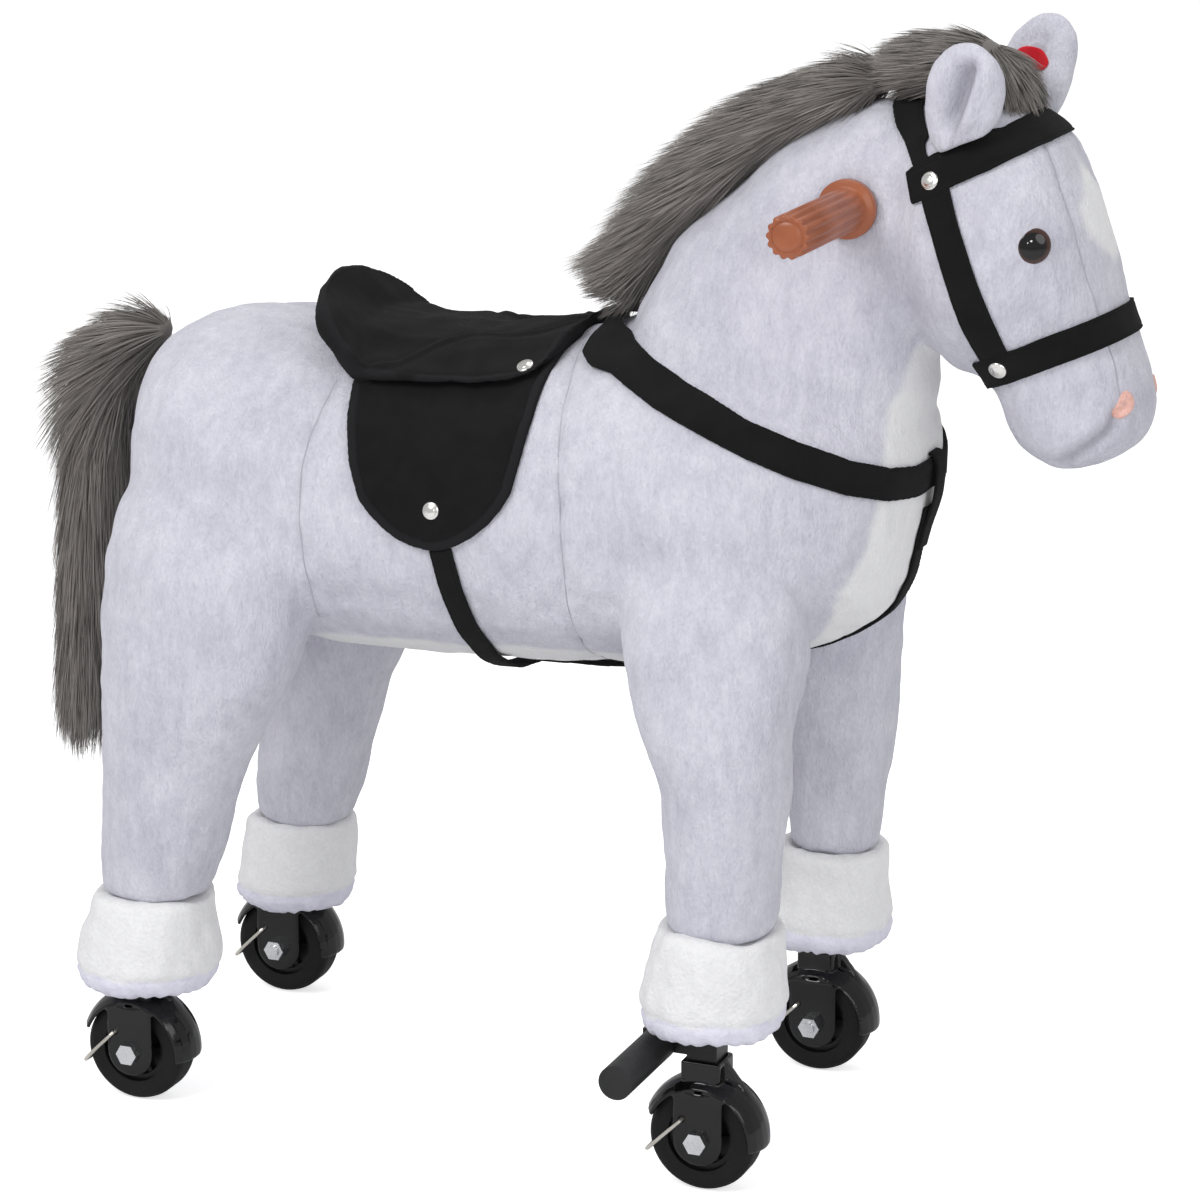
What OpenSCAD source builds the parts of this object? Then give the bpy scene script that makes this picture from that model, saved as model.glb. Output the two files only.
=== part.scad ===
// Plush ride-on horse with a gallop hinge at the shoulder and four one-way wheels.
// Millimetres. It faces +X, its left side is +Y, and its tyres stand on z = 0.

/* [Stance] */
// Distance between the front and the rear axles
wheelbase = 402; // [387:1:417]
// How far inside the barrel's side a wheel's plane stands
track_inset = 7.5; // [6:0.5:9]
// Front axle ahead of the origin
front_axle_x = 138; // [134:1:142]
// Height of the back under the saddle
back_z = 518.5; // [510:0.5:528]
// Height of the belly's lowest line
belly_z = 306.5; // [300:0.5:314]
// Plane of the shoulder seam, where the two halves meet
seam_x = 42; // [38:1:46]
// Depth of the gallop hinge below the back
pivot_depth = 43; // [40:1:46]
// How far the front half swings open, in degrees
gallop_angle = 10; // [6:1:12]

/* [Plush body] */
// Width of the barrel
body_w = 234; // [226:1:242]
// Length of the barrel from the rump to the seam
torso_l = 332; // [324:1:340]
// Length of the chest ahead of the seam
chest_l = 201; // [196:1:206]
// Height of the neck's crest above the back
neck_h = 160; // [154:1:166]
// Width of the neck at its root
neck_w = 168; // [160:1:176]
// Length of the head from the poll to the nose
head_l = 146; // [140:1:152]
// Height of the head from the chin to the crown
head_h = 224; // [216:1:232]
// Width of the head at the cheeks
head_w = 136; // [130:1:142]
// Poll ahead of the shoulder seam
head_reach = 190; // [186:1:194]
// Chin below the back
chin_drop = 60; // [55:1:65]
// Height of an ear above its root
ear_h = 72; // [66:1:78]
// Width of an ear
ear_w = 50; // [46:1:54]
// Thickness of an ear
ear_t = 22; // [20:1:24]
// How much further forward the left ear stands
ear_stagger = 5; // [3:1:8]
// How much further forward the left ear's tip stands than its root
ear_tilt = 14; // [10:1:18]
// How much higher the left ear stands
ear_lift = 6; // [4:1:8]
// Width of the mane
mane_w = 60; // [52:1:66]
// How far the tail stands out behind its root
tail_reach = 106; // [100:1:110]
// Height of the tail from its arch to its tip
tail_drop = 326; // [310:1:340]
// Width of the tail
tail_w = 58; // [50:1:66]

/* [Plush legs] */
// Diameter of a front shin
front_leg_d = 70; // [66:1:74]
// Diameter of a rear shin
rear_leg_d = 84; // [80:1:88]
// Height of a front leg's root above the belly line
front_thigh_rise = 116; // [108:1:122]
// Height of a rear leg's root above the belly line
rear_thigh_rise = 131; // [124:1:138]
// Diameter of a cuff at its fullest
cuff_d = 92; // [88:1:96]
// Height of a cuff
cuff_h = 76; // [72:1:80]
// Gap between the right front cuff and the wheel guard under it
front_cuff_gap = 29; // [27:1:33]
// Gap between the right rear cuff and the wheel guard under it
rear_cuff_gap = 3; // [2:1:5]
// How much lower the left cuffs hang
cuff_slip = 14; // [12:1:16]
// How much slimmer the left shins and cuffs are
left_slim = 7; // [5:1:9]
// How deep a leg sits in its cuff
leg_tuck = 10; // [8:1:14]

/* [Saddle and straps] */
// Length of the saddle
saddle_l = 177; // [170:1:184]
// Pommel behind the shoulder seam
pommel_back = 24; // [23:1:27]
// Thickness of the padded seat
seat_t = 12; // [9:1:14]
// How far the seat comes down the horse's sides
seat_drop = 23; // [21:1:25]
// Length of the cantle's leaf
cantle_l = 77; // [73:1:81]
// Width of the cantle's leaf
cantle_w = 146; // [140:1:152]
// Thickness of the cantle's leaf
cantle_t = 8; // [6:0.5:10]
// How far the cantle leans back from upright
cantle_lean = 45; // [40:1:50]
// How far the cantle has slipped to the horse's right
cantle_slip = 12; // [10:1:14]
// Width of a saddle flap
flap_w = 130; // [124:1:136]
// How far a flap comes down below the seat
flap_drop = 99; // [94:1:104]
// Thickness of a flap
flap_t = 3; // [2:0.5:4]
// Width of the breast, chest and bridle straps
strap_w = 18; // [15:1:20]
// Width of the girth strap
girth_w = 15; // [13:1:17]
// Thickness of every strap
strap_t = 2.5; // [2:0.5:3]
// Diameter of a rivet's head
rivet_d = 12; // [10:1:14]
// Height of a rivet's head
rivet_h = 2; // [1.5:0.5:3]

/* [Face] */
// Diameter of an eye
eye_d = 23; // [21:1:25]
// How far an eye stands proud of the plush
eye_h = 6; // [5:0.5:7]
// Width of a nostril patch
nostril_w = 11; // [9:1:13]
// Height of a nostril patch
nostril_h = 18; // [15:1:20]

/* [Wheels] */
// Diameter of a wheel over its tyre
wheel_d = 70; // [67:1:73]
// Width of a tyre
tyre_w = 24; // [22:1:26]
// Rounding of a tyre's shoulders
tyre_round = 5; // [3:0.5:6]
// Diameter of the rim under the tyre
rim_d = 44; // [42:1:46]
// Thickness of the rim's ring
rim_wall = 3.5; // [3:0.5:4.5]
// Diameter of a wheel's hub
hub_d = 19; // [17:1:21]
// Thickness of the web between the hub and the rim
web_t = 5; // [4:0.5:7]
// Number of spokes on each face of a wheel
spokes = 6; // [4:1:8]
// Thickness of a spoke
spoke_t = 3; // [2.5:0.5:4]
// Diameter of an axle bolt
axle_d = 8; // [7:0.5:9]
// Gap between an axle and its hub, all round
axle_play = 0.05; // [0.03:0.01:0.1]

/* [Wheel guards] */
// Gap between the tyre's crown and the guard
guard_gap = 3.5; // [3:0.5:4.5]
// Wall of the guard
guard_wall = 2.5; // [2:0.5:3]
// How far the guard's edges fall below its crown
guard_dome = 6.5; // [5.5:0.5:7.5]
// Angle of the guard's front end below the axle, in degrees
guard_front = 6; // [0:1:10]
// Angle of the guard's rear end above the axle, in degrees
guard_rear = 22; // [18:1:28]
// Gap between the tyre's side and a cheek plate
cheek_gap = 3; // [2.5:0.5:3.5]
// Thickness of a cheek plate
cheek_t = 3; // [2.5:0.5:4]
// Width of a cheek plate
cheek_w = 33; // [31:1:35]
// Wall of the socket that takes the post
socket_wall = 3; // [2.5:0.5:4]
// Depth of the socket over the post
socket_h = 10; // [8:1:12]
// Length of the gusset ahead of the socket
gusset_l = 18; // [14:1:20]

/* [Wheel catches] */
// Diameter of the catch wire
wire_d = 2.5; // [2:0.25:3]
// Gap between a catch and the tyre or a cheek plate
catch_gap = 0.6; // [0.5:0.1:1]
// Catch pivot behind the axle
catch_back = 10; // [9:0.5:11]
// Catch pivot above the axle
catch_up = 14; // [13:0.5:15]
// Angle of a catch's arms below the horizontal, in degrees
catch_slope = 45; // [42:1:48]

/* [Steel frame] */
// Side of a leg post and of the cross tubes
post_w = 20; // [18:1:22]
// Wall of the square tubes
post_wall = 1.5; // [1:0.25:2]
// Height of the cross tubes' middle above the belly line
cross_rise = 46; // [43:1:50]
// Side of the backbone tube
backbone_w = 24; // [22:1:26]
// Rear end of the backbone behind the seam
backbone_l = 240; // [232:1:248]
// Diameter of the neck tube
neck_tube_d = 28; // [26:1:30]
// Wall of the round tubes
tube_wall = 2; // [1.5:0.25:2.5]
// Diameter of the hinge bolt
pivot_d = 10; // [9:0.5:11]
// Outer diameter of the hinge sleeve
sleeve_d = 20; // [18:1:22]
// Thickness of a hinge lug
lug_t = 4; // [3:0.5:5]
// Diameter of a hinge lug's eye
lug_d = 28; // [26:1:30]
// Thickness of the seat board
board_t = 10; // [8:1:11]
// Length of the seat board
board_l = 150; // [140:1:160]
// Width of the seat board
board_w = 76; // [70:1:80]

/* [Return spring] */
// Outer diameter of the spring
spring_d = 22; // [18:1:24]
// Diameter of the spring wire
spring_wire = 3; // [2.5:0.25:3.5]
// Number of coils
spring_coils = 10; // [8:1:14]
// Depth of the spring below the hinge
spring_depth = 48; // [46:1:52]
// Rear anchor of the spring behind the seam
spring_back = 70; // [64:1:76]
// Thickness of an anchor plate
anchor_t = 4; // [3:0.5:5]

/* [Handles and pegs] */
// Handle bar behind the poll
handle_back = 28; // [25:1:31]
// Handle bar above the back
handle_rise = 99; // [96:1:103]
// Diameter of the handle bar
handle_d = 20; // [18:1:22]
// Length of the handle bar
handle_l = 320; // [310:1:330]
// Diameter of a grip
grip_d = 27; // [25:1:29]
// Distance from the middle to a grip's flange
grip_start = 55.5; // [55:0.5:58]
// Diameter of a grip's flange
flange_d = 36; // [34:1:40]
// Thickness of a grip's flange
flange_t = 4; // [3:0.5:5]
// Wall at a grip's outer end
grip_cap = 6; // [4:1:8]
// Number of flutes round a grip
flutes = 12; // [8:1:16]
// Diameter of a foot peg's sleeve
peg_d = 22; // [20:1:24]
// Diameter of a foot peg's steel bar
peg_bar_d = 12; // [10:1:13]
// Length of a foot peg's sleeve
peg_l = 74; // [68:1:80]
// Foot peg behind the front axle
peg_back = 31; // [29:1:34]
// Foot peg above the axle
peg_rise = 57; // [55:1:60]
// Height of the bracket that carries a peg
bracket_h = 16; // [14:1:18]
// Thickness of that bracket
bracket_t = 8; // [6:1:10]

/* [Sound unit] */
// Length, width and height of the sound box
sound_box_l = 46; // [40:1:50]
// Width of the sound box
sound_box_w = 40; // [34:1:46]
// Height of the sound box
sound_box_h = 28; // [24:1:32]
// Diameter of the button in the left ear
button_d = 16; // [14:1:18]
// Thickness of the button
button_t = 5; // [4:0.5:6]
// Travel of the button
button_travel = 1.5; // [1:0.25:2]

/* [Hidden] */

// Clearance between stuffed pieces and whatever they touch
gap = 0.3;
// Overrun of every cut
over = 1;
// A cut long enough to pass the whole horse
beyond = 2 * wheelbase;
// Sides of a ring of the body and of a limb, a ring's thickness, and how square its oval is
body_sides = 20;
limb_sides = 14;
ring_t = 0.2;
// Sides of a round room cut into the plush
room_sides = 16;
squareness = 0.88;
$fn = 48;
// Growth of the soft forms, set by grown()
$grow = 0;

plush = "#b9b5c3";
white_plush = "#f1eff2";
hair = "#6f6a72";
black_cloth = "#1d1d20";
steel = "#3b3c40";
zinc = "#c2c5c9";
black_plastic = "#161618";

body_h = back_z - belly_z;
half_track = body_w / 2 - track_inset;
rump_x = seam_x - torso_l;
chin_z = back_z - chin_drop;
head_x = seam_x + head_reach;
pivot_z = back_z - pivot_depth;
cross_z = belly_z + cross_rise;
rear_axle_x = front_axle_x - wheelbase;
// The rear cross tube runs along the front of its posts
rear_cross_x = rear_axle_x + post_w;
axle_z = wheel_d / 2;
guard_r = wheel_d / 2 + guard_gap;
crown_r = guard_r + guard_wall;
cheek_y = tyre_w / 2 + cheek_gap;
guard_half_w = cheek_y + cheek_t;
dome_r = (guard_half_w * guard_half_w + guard_dome * guard_dome) / (2 * guard_dome);
crown_z = axle_z + crown_r;
post_foot_z = crown_z - guard_wall / 2;
handle_at = [head_x - handle_back, back_z + handle_rise];

// Soft forms. A row of a table gives the two ends of a ring's long axis as shares of the form's
// length and height, then its half width as a share of the form's half width.

// Barrel: along from the rump, up from the belly
torso_shares = [
  [0, 0.74, 0, 0.36, 0.30],
  [0.03, 0.87, 0.03, 0.20, 0.62],
  [0.08, 0.945, 0.08, 0.11, 0.83],
  [0.16, 0.985, 0.16, 0.05, 0.95],
  [0.28, 1, 0.28, 0.015, 1],
  [0.42, 0.985, 0.42, 0, 1],
  [0.58, 0.955, 0.58, 0, 0.985],
  [0.74, 0.955, 0.74, 0, 0.97],
  [0.88, 0.985, 0.88, 0.01, 0.97],
  [1, 1.04, 1, 0.02, 0.985]
];
// Shoulders and chest: along from the seam, up from the belly
shoulder_shares = [
  [0, 1.04, 0, 0.02, 0.985],
  [0.15, 1.072, 0.15, 0.03, 1],
  [0.35, 1.085, 0.35, 0.05, 1.01],
  [0.47, 1.07, 0.47, 0.07, 1],
  [0.58, 1.05, 0.58, 0.10, 0.97],
  [0.72, 1, 0.72, 0.15, 0.88],
  [0.86, 0.95, 0.86, 0.24, 0.72],
  [0.95, 0.88, 0.95, 0.38, 0.50],
  [1, 0.78, 1, 0.56, 0.22]
];
// Neck: along from the seam by a share of the head's reach, up from the back by the neck's height
neck_run_share = 1.058;
neck_run = neck_run_share * head_reach;
neck_shares = [
  [-0.01, -0.1, 0.88, -0.57, 1.1],
  [0.083, 0.19, 0.955, -0.37, 1],
  [0.197, 0.43, 1.005, -0.18, 0.86],
  [0.352, 0.62, 1, -0.055, 0.75],
  [0.512, 0.79, 1, 0.03, 0.68],
  [0.678, 0.91, 1.01, 0.075, 0.645],
  [0.838, 0.99, 1.04, 0.09, 0.645],
  [0.962, 0.985, 1.09, 0.15, 0.6]
];
// Head: forward from the poll, up from the chin
head_shares = [
  [-0.07, 0.89, 0.05, 0.44, 0.44],
  [0, 0.98, 0.10, 0.32, 0.80],
  [0.21, 1, 0.16, 0.27, 0.94],
  [0.43, 0.98, 0.21, 0.245, 1],
  [0.61, 0.905, 0.285, 0.24, 0.985],
  [0.735, 0.765, 0.355, 0.22, 0.90],
  [0.815, 0.60, 0.405, 0.175, 0.78],
  [0.88, 0.45, 0.425, 0.11, 0.69],
  [0.95, 0.315, 0.49, 0.047, 0.68],
  [1, 0.21, 0.59, 0.022, 0.63],
  [0.98, 0.12, 0.70, 0.018, 0.50],
  [0.91, 0.065, 0.81, 0.038, 0.22]
];
// Mane, in the neck's shares, and forelock, in the head's shares
mane_shares = [
  [-0.062, 0.18, 0.021, 0.06, 0.47],
  [0.01, 0.37, 0.114, 0.17, 0.8],
  [0.155, 0.66, 0.29, 0.44, 0.93],
  [0.31, 0.87, 0.424, 0.61, 1],
  [0.476, 1.03, 0.58, 0.74, 1],
  [0.657, 1.13, 0.724, 0.84, 1],
  [0.849, 1.18, 0.869, 0.89, 0.95]
];
forelock_shares = [
  [-0.07, 1.14, -0.04, 0.94, 0.87],
  [0.10, 1.175, 0.11, 0.97, 0.93],
  [0.275, 1.175, 0.26, 0.98, 0.93],
  [0.45, 1.12, 0.40, 0.95, 0.87],
  [0.59, 1.02, 0.51, 0.905, 0.60]
];
// Tail: backward from its root, down from the top of its arch
tail_shares = [
  [0, 0.03, 0, 0.10, 0.41],
  [0.19, 0, 0.11, 0.105, 0.59],
  [0.43, 0.012, 0.23, 0.12, 0.72],
  [0.67, 0.075, 0.32, 0.165, 0.83],
  [0.83, 0.17, 0.39, 0.235, 0.90],
  [0.905, 0.30, 0.45, 0.34, 0.97],
  [0.955, 0.47, 0.53, 0.485, 1],
  [0.99, 0.655, 0.585, 0.66, 1],
  [1, 0.82, 0.62, 0.82, 0.90],
  [0.98, 0.94, 0.68, 0.93, 0.62],
  [0.925, 1, 0.775, 0.995, 0.24]
];
tail_root_share = 0.055;
tail_arch_share = 0.015;
// Ears: up from the root, half width, half thickness
ear_shares = [
  [0, 0.68, 0.82],
  [0.20, 0.92, 1],
  [0.42, 1, 1],
  [0.64, 0.96, 0.86],
  [0.82, 0.80, 0.68],
  [0.94, 0.52, 0.46],
  [1, 0.24, 0.28]
];
ear_root_shares = [0.29, 0.845, 0.76];
ear_lean_share = 0.08;
// Legs: up from the foot, then forward offset, half length, half width and inward offset,
// all four as shares of half the shin's diameter
front_leg_shares = [
  [0, 0.26, 0.94, 0.94, 0],
  [0.113, 0.26, 1, 0.97, 0],
  [0.245, 0.29, 1.06, 1, 0],
  [0.37, 0.31, 1.14, 1.03, 0],
  [0.47, 0.20, 1.29, 1.09, 0],
  [0.565, 0.09, 1.46, 1.14, 0.10],
  [0.68, 0, 1.66, 1.20, 0.33],
  [0.81, -0.06, 1.71, 1.09, 0.50],
  [0.925, -0.06, 1.54, 0.74, 0.61],
  [1, -0.06, 1.14, 0.34, 0.67]
];
rear_leg_shares = [
  [0, 0.36, 0.86, 0.83, 0],
  [0.123, 0.55, 1, 0.86, 0],
  [0.217, 0.67, 1.05, 0.88, 0],
  [0.327, 0.81, 1.14, 0.90, 0],
  [0.433, 0.97, 1.34, 0.97, 0],
  [0.533, 1.13, 1.57, 1.05, 0.05],
  [0.633, 1.17, 1.72, 1.08, 0.18],
  [0.767, 1.27, 1.73, 1.05, 0.28],
  [0.90, 1.36, 1.60, 0.75, 0.42],
  [1, 1.48, 1.10, 0.29, 0.51]
];
// Cuffs: up from the sole, then radius
cuff_shares = [
  [0, 0.47], [0.055, 0.74], [0.19, 0.91], [0.47, 1], [0.73, 0.94], [0.90, 0.85], [1, 0.77]
];
front_cuff_lean_shares = [0.06, 0.12];
rear_cuff_lean_shares = [0.10, 0.22];
// Saddle seat's lower edge: along from the cantle, up from the seat's lowest line
seat_edge_shares = [
  [0.13, 1.93], [0.18, 1.15], [0.23, 0.46], [0.27, 0.12], [0.33, 0], [0.56, 0],
  [0.72, 0.05], [0.86, 0.22], [0.932, 0.40], [0.972, 0.64], [0.994, 0.98], [1, 1.28]
];
// Cantle's leaf: up along it, half width; then the point of the seat's edge it stands on
cantle_shares = [
  [0, 0.96], [0.10, 1], [0.28, 1], [0.45, 0.96], [0.56, 0.90], [0.66, 0.82], [0.76, 0.71],
  [0.845, 0.57], [0.92, 0.40], [0.972, 0.22], [1, 0.06]
];
cantle_foot_shares = [0.293, -0.21];
// Flap in side view: along its width, down from the seat's lowest line
flap_shares = [
  [0, -0.2], [0, 0.035], [0.04, 0.26], [0.085, 0.49], [0.15, 0.718], [0.21, 0.81],
  [0.276, 0.881], [0.346, 0.94], [0.422, 0.977], [0.53, 1], [0.60, 0.98], [0.663, 0.945],
  [0.746, 0.88], [0.826, 0.795], [0.888, 0.70], [0.938, 0.59], [0.977, 0.36], [0.998, 0.13],
  [1, -0.2]
];
flap_front_share = 0.011;
// Girth's top below the seat and its forward run on the way down
girth_top_shares = [0.668, 0.92];
girth_foot_share = 0.763;
// Breast strap's plane: its ends in shares of the chest's length and of the body's height
breast_shares = [[-0.024, 1.05], [0.98, 0.67]];
// Bridle planes in the head's shares: poll to cheek, brow and nose
cheek_shares = [[0.05, 1.02], [0.466, 0.295]];
brow_shares = [[0.165, 0.802], [0.60, 0.948]];
nose_shares = [[0.46, 0.30], [0.94, 0.43]];
tab_share = 0.95;
// Face in the head's shares
eye_shares = [0.61, 0.647];
nostril_shares = [0.965, 0.215];
nostril_turn = 35;
// Studs on the saddle: along the saddle and up from the seat's lowest line
seat_stud_shares = [0.897, 0.01];
flap_stud_shares = [0.647, -0.739];
stud_turn = 45;
// Sound unit in the head's shares, button up the ear
sound_box_shares = [0.40, 0.58];
button_share = 0.66;
// Top of the neck tube's foot, along the chest
lug_front_share = 0.48;

// Helpers for soft forms

function spread(at, size, p) = [at[0] + size[0] * p[0], at[1] + size[1] * p[1]];
function rings(at, size, half_w, rows) = [
  for (r = rows) [spread(at, size, [r[0], r[1]]), spread(at, size, [r[2], r[3]]), half_w * r[4], 0]
];
function bent(v) = sign(v) * pow(abs(v), squareness);
function oval(a, b, n) = [
  for (i = [0 : n - 1]) [a * bent(cos(360 * i / n)), b * bent(sin(360 * i / n))]
];

// One ring of a soft form: its long axis runs from r[0] to r[1] in the XZ plane
module ring(r, n) {
  along = r[1] - r[0];
  middle = (r[0] + r[1]) / 2;
  translate([middle[0], r[3], middle[1]])
    rotate([0, -atan2(along[1], along[0]), 0])
      linear_extrude(height = ring_t, center = true)
        polygon(oval(norm(along) / 2 + $grow, r[2] + $grow, n));
}

// A soft form lofted through its rings
module loft(rs, n = limb_sides) {
  for (i = [0 : len(rs) - 2])
    hull() {
      ring(rs[i], n);
      ring(rs[i + 1], n);
    }
}

// Its children, grown on all sides
module grown($grow) {
  children();
}

// A skin that lies on its children, lift above them and t thick
module skin(lift, t) {
  difference() {
    grown(lift + t) children();
    grown(lift) children();
  }
}

// A band of width w in the plane through a and b that holds the Y axis
module band(a, b, w) {
  translate([a[0], 0, a[1]])
    rotate([0, -atan2(b[1] - a[1], b[0] - a[0]), 0])
      cube([beyond, beyond, w], center = true);
}

// Everything on one side of the plane through a and b: above it when the run from a to b is forward
module above(a, b) {
  translate([a[0], 0, a[1]])
    rotate([0, -atan2(b[1] - a[1], b[0] - a[0]), 0])
      translate([0, 0, beyond / 2])
        cube(beyond, center = true);
}

// A side view pushed along Y
module side_view(points) {
  rotate([90, 0, 0])
    linear_extrude(height = beyond, center = true)
      polygon(points);
}

module both_sides() {
  children();
  mirror([0, 1, 0]) children();
}

module on_side(side) {
  mirror([0, side > 0 ? 1 : 0, 0]) children();
}

// The soft forms

module torso_form() {
  loft(rings([rump_x, belly_z], [torso_l, body_h], body_w / 2, torso_shares), body_sides);
}

module shoulder_form() {
  loft(rings([seam_x, belly_z], [chest_l, body_h], body_w / 2, shoulder_shares), body_sides);
}

module neck_form() {
  loft(rings([seam_x, back_z], [neck_run, neck_h], neck_w / 2, neck_shares), body_sides);
}

module head_form() {
  loft(rings([head_x, chin_z], [head_l, head_h], head_w / 2, head_shares), body_sides);
}

module front_form() {
  shoulder_form();
  neck_form();
}

// A right leg from foot_z to top_z on the post at x, slimmer by slim at its foot
module leg_form(x, foot_z, top_z, d, slim, rows) {
  loft([
    for (r = rows)
      let (z = foot_z + r[0] * (top_z - foot_z), half = (d - slim * (1 - r[0])) / 2)
        let (middle = x + r[1] * half, y = r[4] * half - half_track)
          [[middle - r[2] * half, z], [middle + r[2] * half, z], r[3] * half, y]
  ]);
}

front_sole_z = crown_z + front_cuff_gap;
rear_sole_z = crown_z + rear_cuff_gap;

// Legs and cuffs are drawn on the right and mirrored for a positive side, with the left one's slack
function slack(side, v) = side > 0 ? v : 0;

module front_leg_form(side) {
  foot_z = front_sole_z - slack(side, cuff_slip) + cuff_h - leg_tuck;
  top_z = belly_z + front_thigh_rise;
  on_side(side)
    leg_form(front_axle_x, foot_z, top_z, front_leg_d, slack(side, left_slim), front_leg_shares);
}

module rear_leg_form(side) {
  foot_z = rear_sole_z - slack(side, cuff_slip) + cuff_h - leg_tuck;
  top_z = belly_z + rear_thigh_rise;
  on_side(side)
    leg_form(rear_axle_x, foot_z, top_z, rear_leg_d, slack(side, left_slim), rear_leg_shares);
}

// A cuff, leaning forward from its sole up
module cuff_form(side, x, right_sole_z, lean) {
  sole_z = right_sole_z - slack(side, cuff_slip);
  half_d = (cuff_d - slack(side, left_slim)) / 2;
  on_side(side)
    loft([
      for (r = cuff_shares)
        let (z = sole_z + r[0] * cuff_h, half = r[1] * half_d)
          let (middle = x + (lean[0] + lean[1] * r[0]) * half_d)
            [[middle - half, z], [middle + half, z], half, -half_track]
    ]);
}

module ear_form(forward, lift, tilt) {
  root = spread([head_x, chin_z], [head_l, head_h], [ear_root_shares[0], ear_root_shares[1]]);
  y = ear_root_shares[2] * head_w / 2;
  loft([
    for (r = ear_shares)
      let (z = root[1] + lift + r[0] * ear_h, half = r[1] * ear_w / 2, x = root[0] + forward + r[0] * tilt)
        [[x - half, z], [x + half, z], r[2] * ear_t / 2, -y - r[0] * ear_lean_share * ear_h]
  ]);
}

module ear_forms() {
  ear_form(0, 0, 0);
  mirror([0, 1, 0]) ear_form(ear_stagger, ear_lift, ear_tilt);
}

// Room cut into the plush for what runs through it

// A round room along Z that clears a rod of diameter d
module round_room(d, h, center = false) {
  cylinder(d = d / cos(180 / room_sides), h = h, center = center, $fn = room_sides);
}

module posts_room(x) {
  both_sides()
    translate([x, half_track, (post_foot_z + cross_z) / 2])
      cube([post_w + 2 * gap, post_w + 2 * gap, cross_z - post_foot_z + post_w + 2 * gap], center = true);
}

module cross_room(x) {
  translate([x, 0, cross_z])
    cube([post_w + 2 * gap, 2 * half_track + post_w + 2 * gap, post_w + 2 * gap], center = true);
}

module hinge_room() {
  translate([seam_x, 0, pivot_z])
    rotate([90, 0, 0])
      round_room(lug_d + 2 * hinge_spare, pivot_bolt_l + 2 * (hinge_spare + gap), true);
}

module lugs_room() {
  hull() {
    for (at = [lug_rear_at, lug_front_at])
      translate([at[0], 0, at[1]])
        rotate([90, 0, 0])
          round_room(lug_d + 2 * gap, 2 * (lug_y + lug_t + gap), true);
  }
}

module neck_tube_room() {
  on_neck_line() round_room(neck_tube_d + 2 * gap, norm(handle_at - neck_foot) + handle_d / 2);
}

module handle_room() {
  translate([handle_at[0], 0, handle_at[1]])
    rotate([90, 0, 0])
      round_room(handle_d + 2 * gap, handle_l, true);
}

module backbone_room() {
  translate([seam_x - backbone_l - gap, -backbone_w / 2 - gap, pivot_z - backbone_w / 2 - gap])
    cube([backbone_l + 2 * gap, backbone_w + 2 * gap, backbone_w + 2 * gap]);
  strut(post_w / 2 + gap);
}

module board_room() {
  translate([board_x - gap, -board_w / 2 - gap, board_z - gap])
    cube([board_l + 2 * gap, board_w + 2 * gap, board_t + 2 * gap]);
}

module spring_room() {
  translate([spring_rear_x - anchor_t - gap, 0, spring_z])
    rotate([0, 90, 0])
      round_room(
        spring_d + 2 * hinge_spare,
        spring_front_x - spring_rear_x + 2 * (anchor_t + gap) + neck_tube_d / 2
      );
  translate([spring_rear_x - anchor_t - gap, -anchor_w / 2 - gap, spring_z - spring_d / 2 - gap])
    cube([anchor_t + 2 * gap, anchor_w + 2 * gap, pivot_z - spring_z + spring_d / 2]);
}

// Wedge above the hinge that lets the front half lean back
module seam_relief() {
  translate([seam_x, 0, pivot_z])
    rotate([0, -gallop_angle - gallop_spare, 0])
      translate([0, -beyond / 2, 0])
        cube([beyond, beyond, beyond]);
}
gallop_spare = 1.5;
// Spare room round the hinge and the spring
hinge_spare = 2;

// The stuffed pieces

module torso() {
  color(plush)
    difference() {
      torso_form();
      seam_relief();
      hinge_room();
      backbone_room();
      board_room();
      spring_room();
      cross_room(rear_cross_x);
      posts_room(rear_axle_x);
    }
}

module shoulders() {
  color(plush)
    difference() {
      shoulder_form();
      translate([seam_x - beyond + gap, -beyond / 2, 0]) cube(beyond);
      hinge_room();
      lugs_room();
      spring_room();
      cross_room(front_axle_x);
      neck_tube_room();
    }
}

module neck() {
  color(plush)
    difference() {
      neck_form();
      grown(gap) shoulder_form();
      grown(gap) head_form();
      translate([seam_x - beyond + gap, -beyond / 2, 0]) cube(beyond);
      neck_tube_room();
      handle_room();
    }
}

module head() {
  color(plush)
    difference() {
      head_form();
      sound_room();
    }
}

module ear(side, forward, lift, tilt) {
  color(plush)
    difference() {
      on_side(side) ear_form(forward, lift, tilt);
      grown(gap) head_form();
      if (side > 0) button_room();
    }
}

module ear_right() {
  ear(-1, 0, 0, 0);
}

module ear_left() {
  ear(1, ear_stagger, ear_lift, ear_tilt);
}

module leg_front(side) {
  color(plush)
    difference() {
      front_leg_form(side);
      grown(gap) shoulder_form();
      posts_room(front_axle_x);
      cross_room(front_axle_x);
    }
}

module leg_front_right() {
  leg_front(-1);
}

module leg_front_left() {
  leg_front(1);
}

module leg_rear(side) {
  color(plush)
    difference() {
      rear_leg_form(side);
      grown(gap) torso_form();
      posts_room(rear_axle_x);
      cross_room(rear_cross_x);
    }
}

module leg_rear_right() {
  leg_rear(-1);
}

module leg_rear_left() {
  leg_rear(1);
}

module front_cuffs() {
  color(white_plush)
    difference() {
      for (side = [-1, 1]) cuff_form(side, front_axle_x, front_sole_z, front_cuff_lean_shares);
      for (side = [-1, 1]) grown(gap) front_leg_form(side);
      posts_room(front_axle_x);
      both_sides() peg_room();
    }
}

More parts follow.
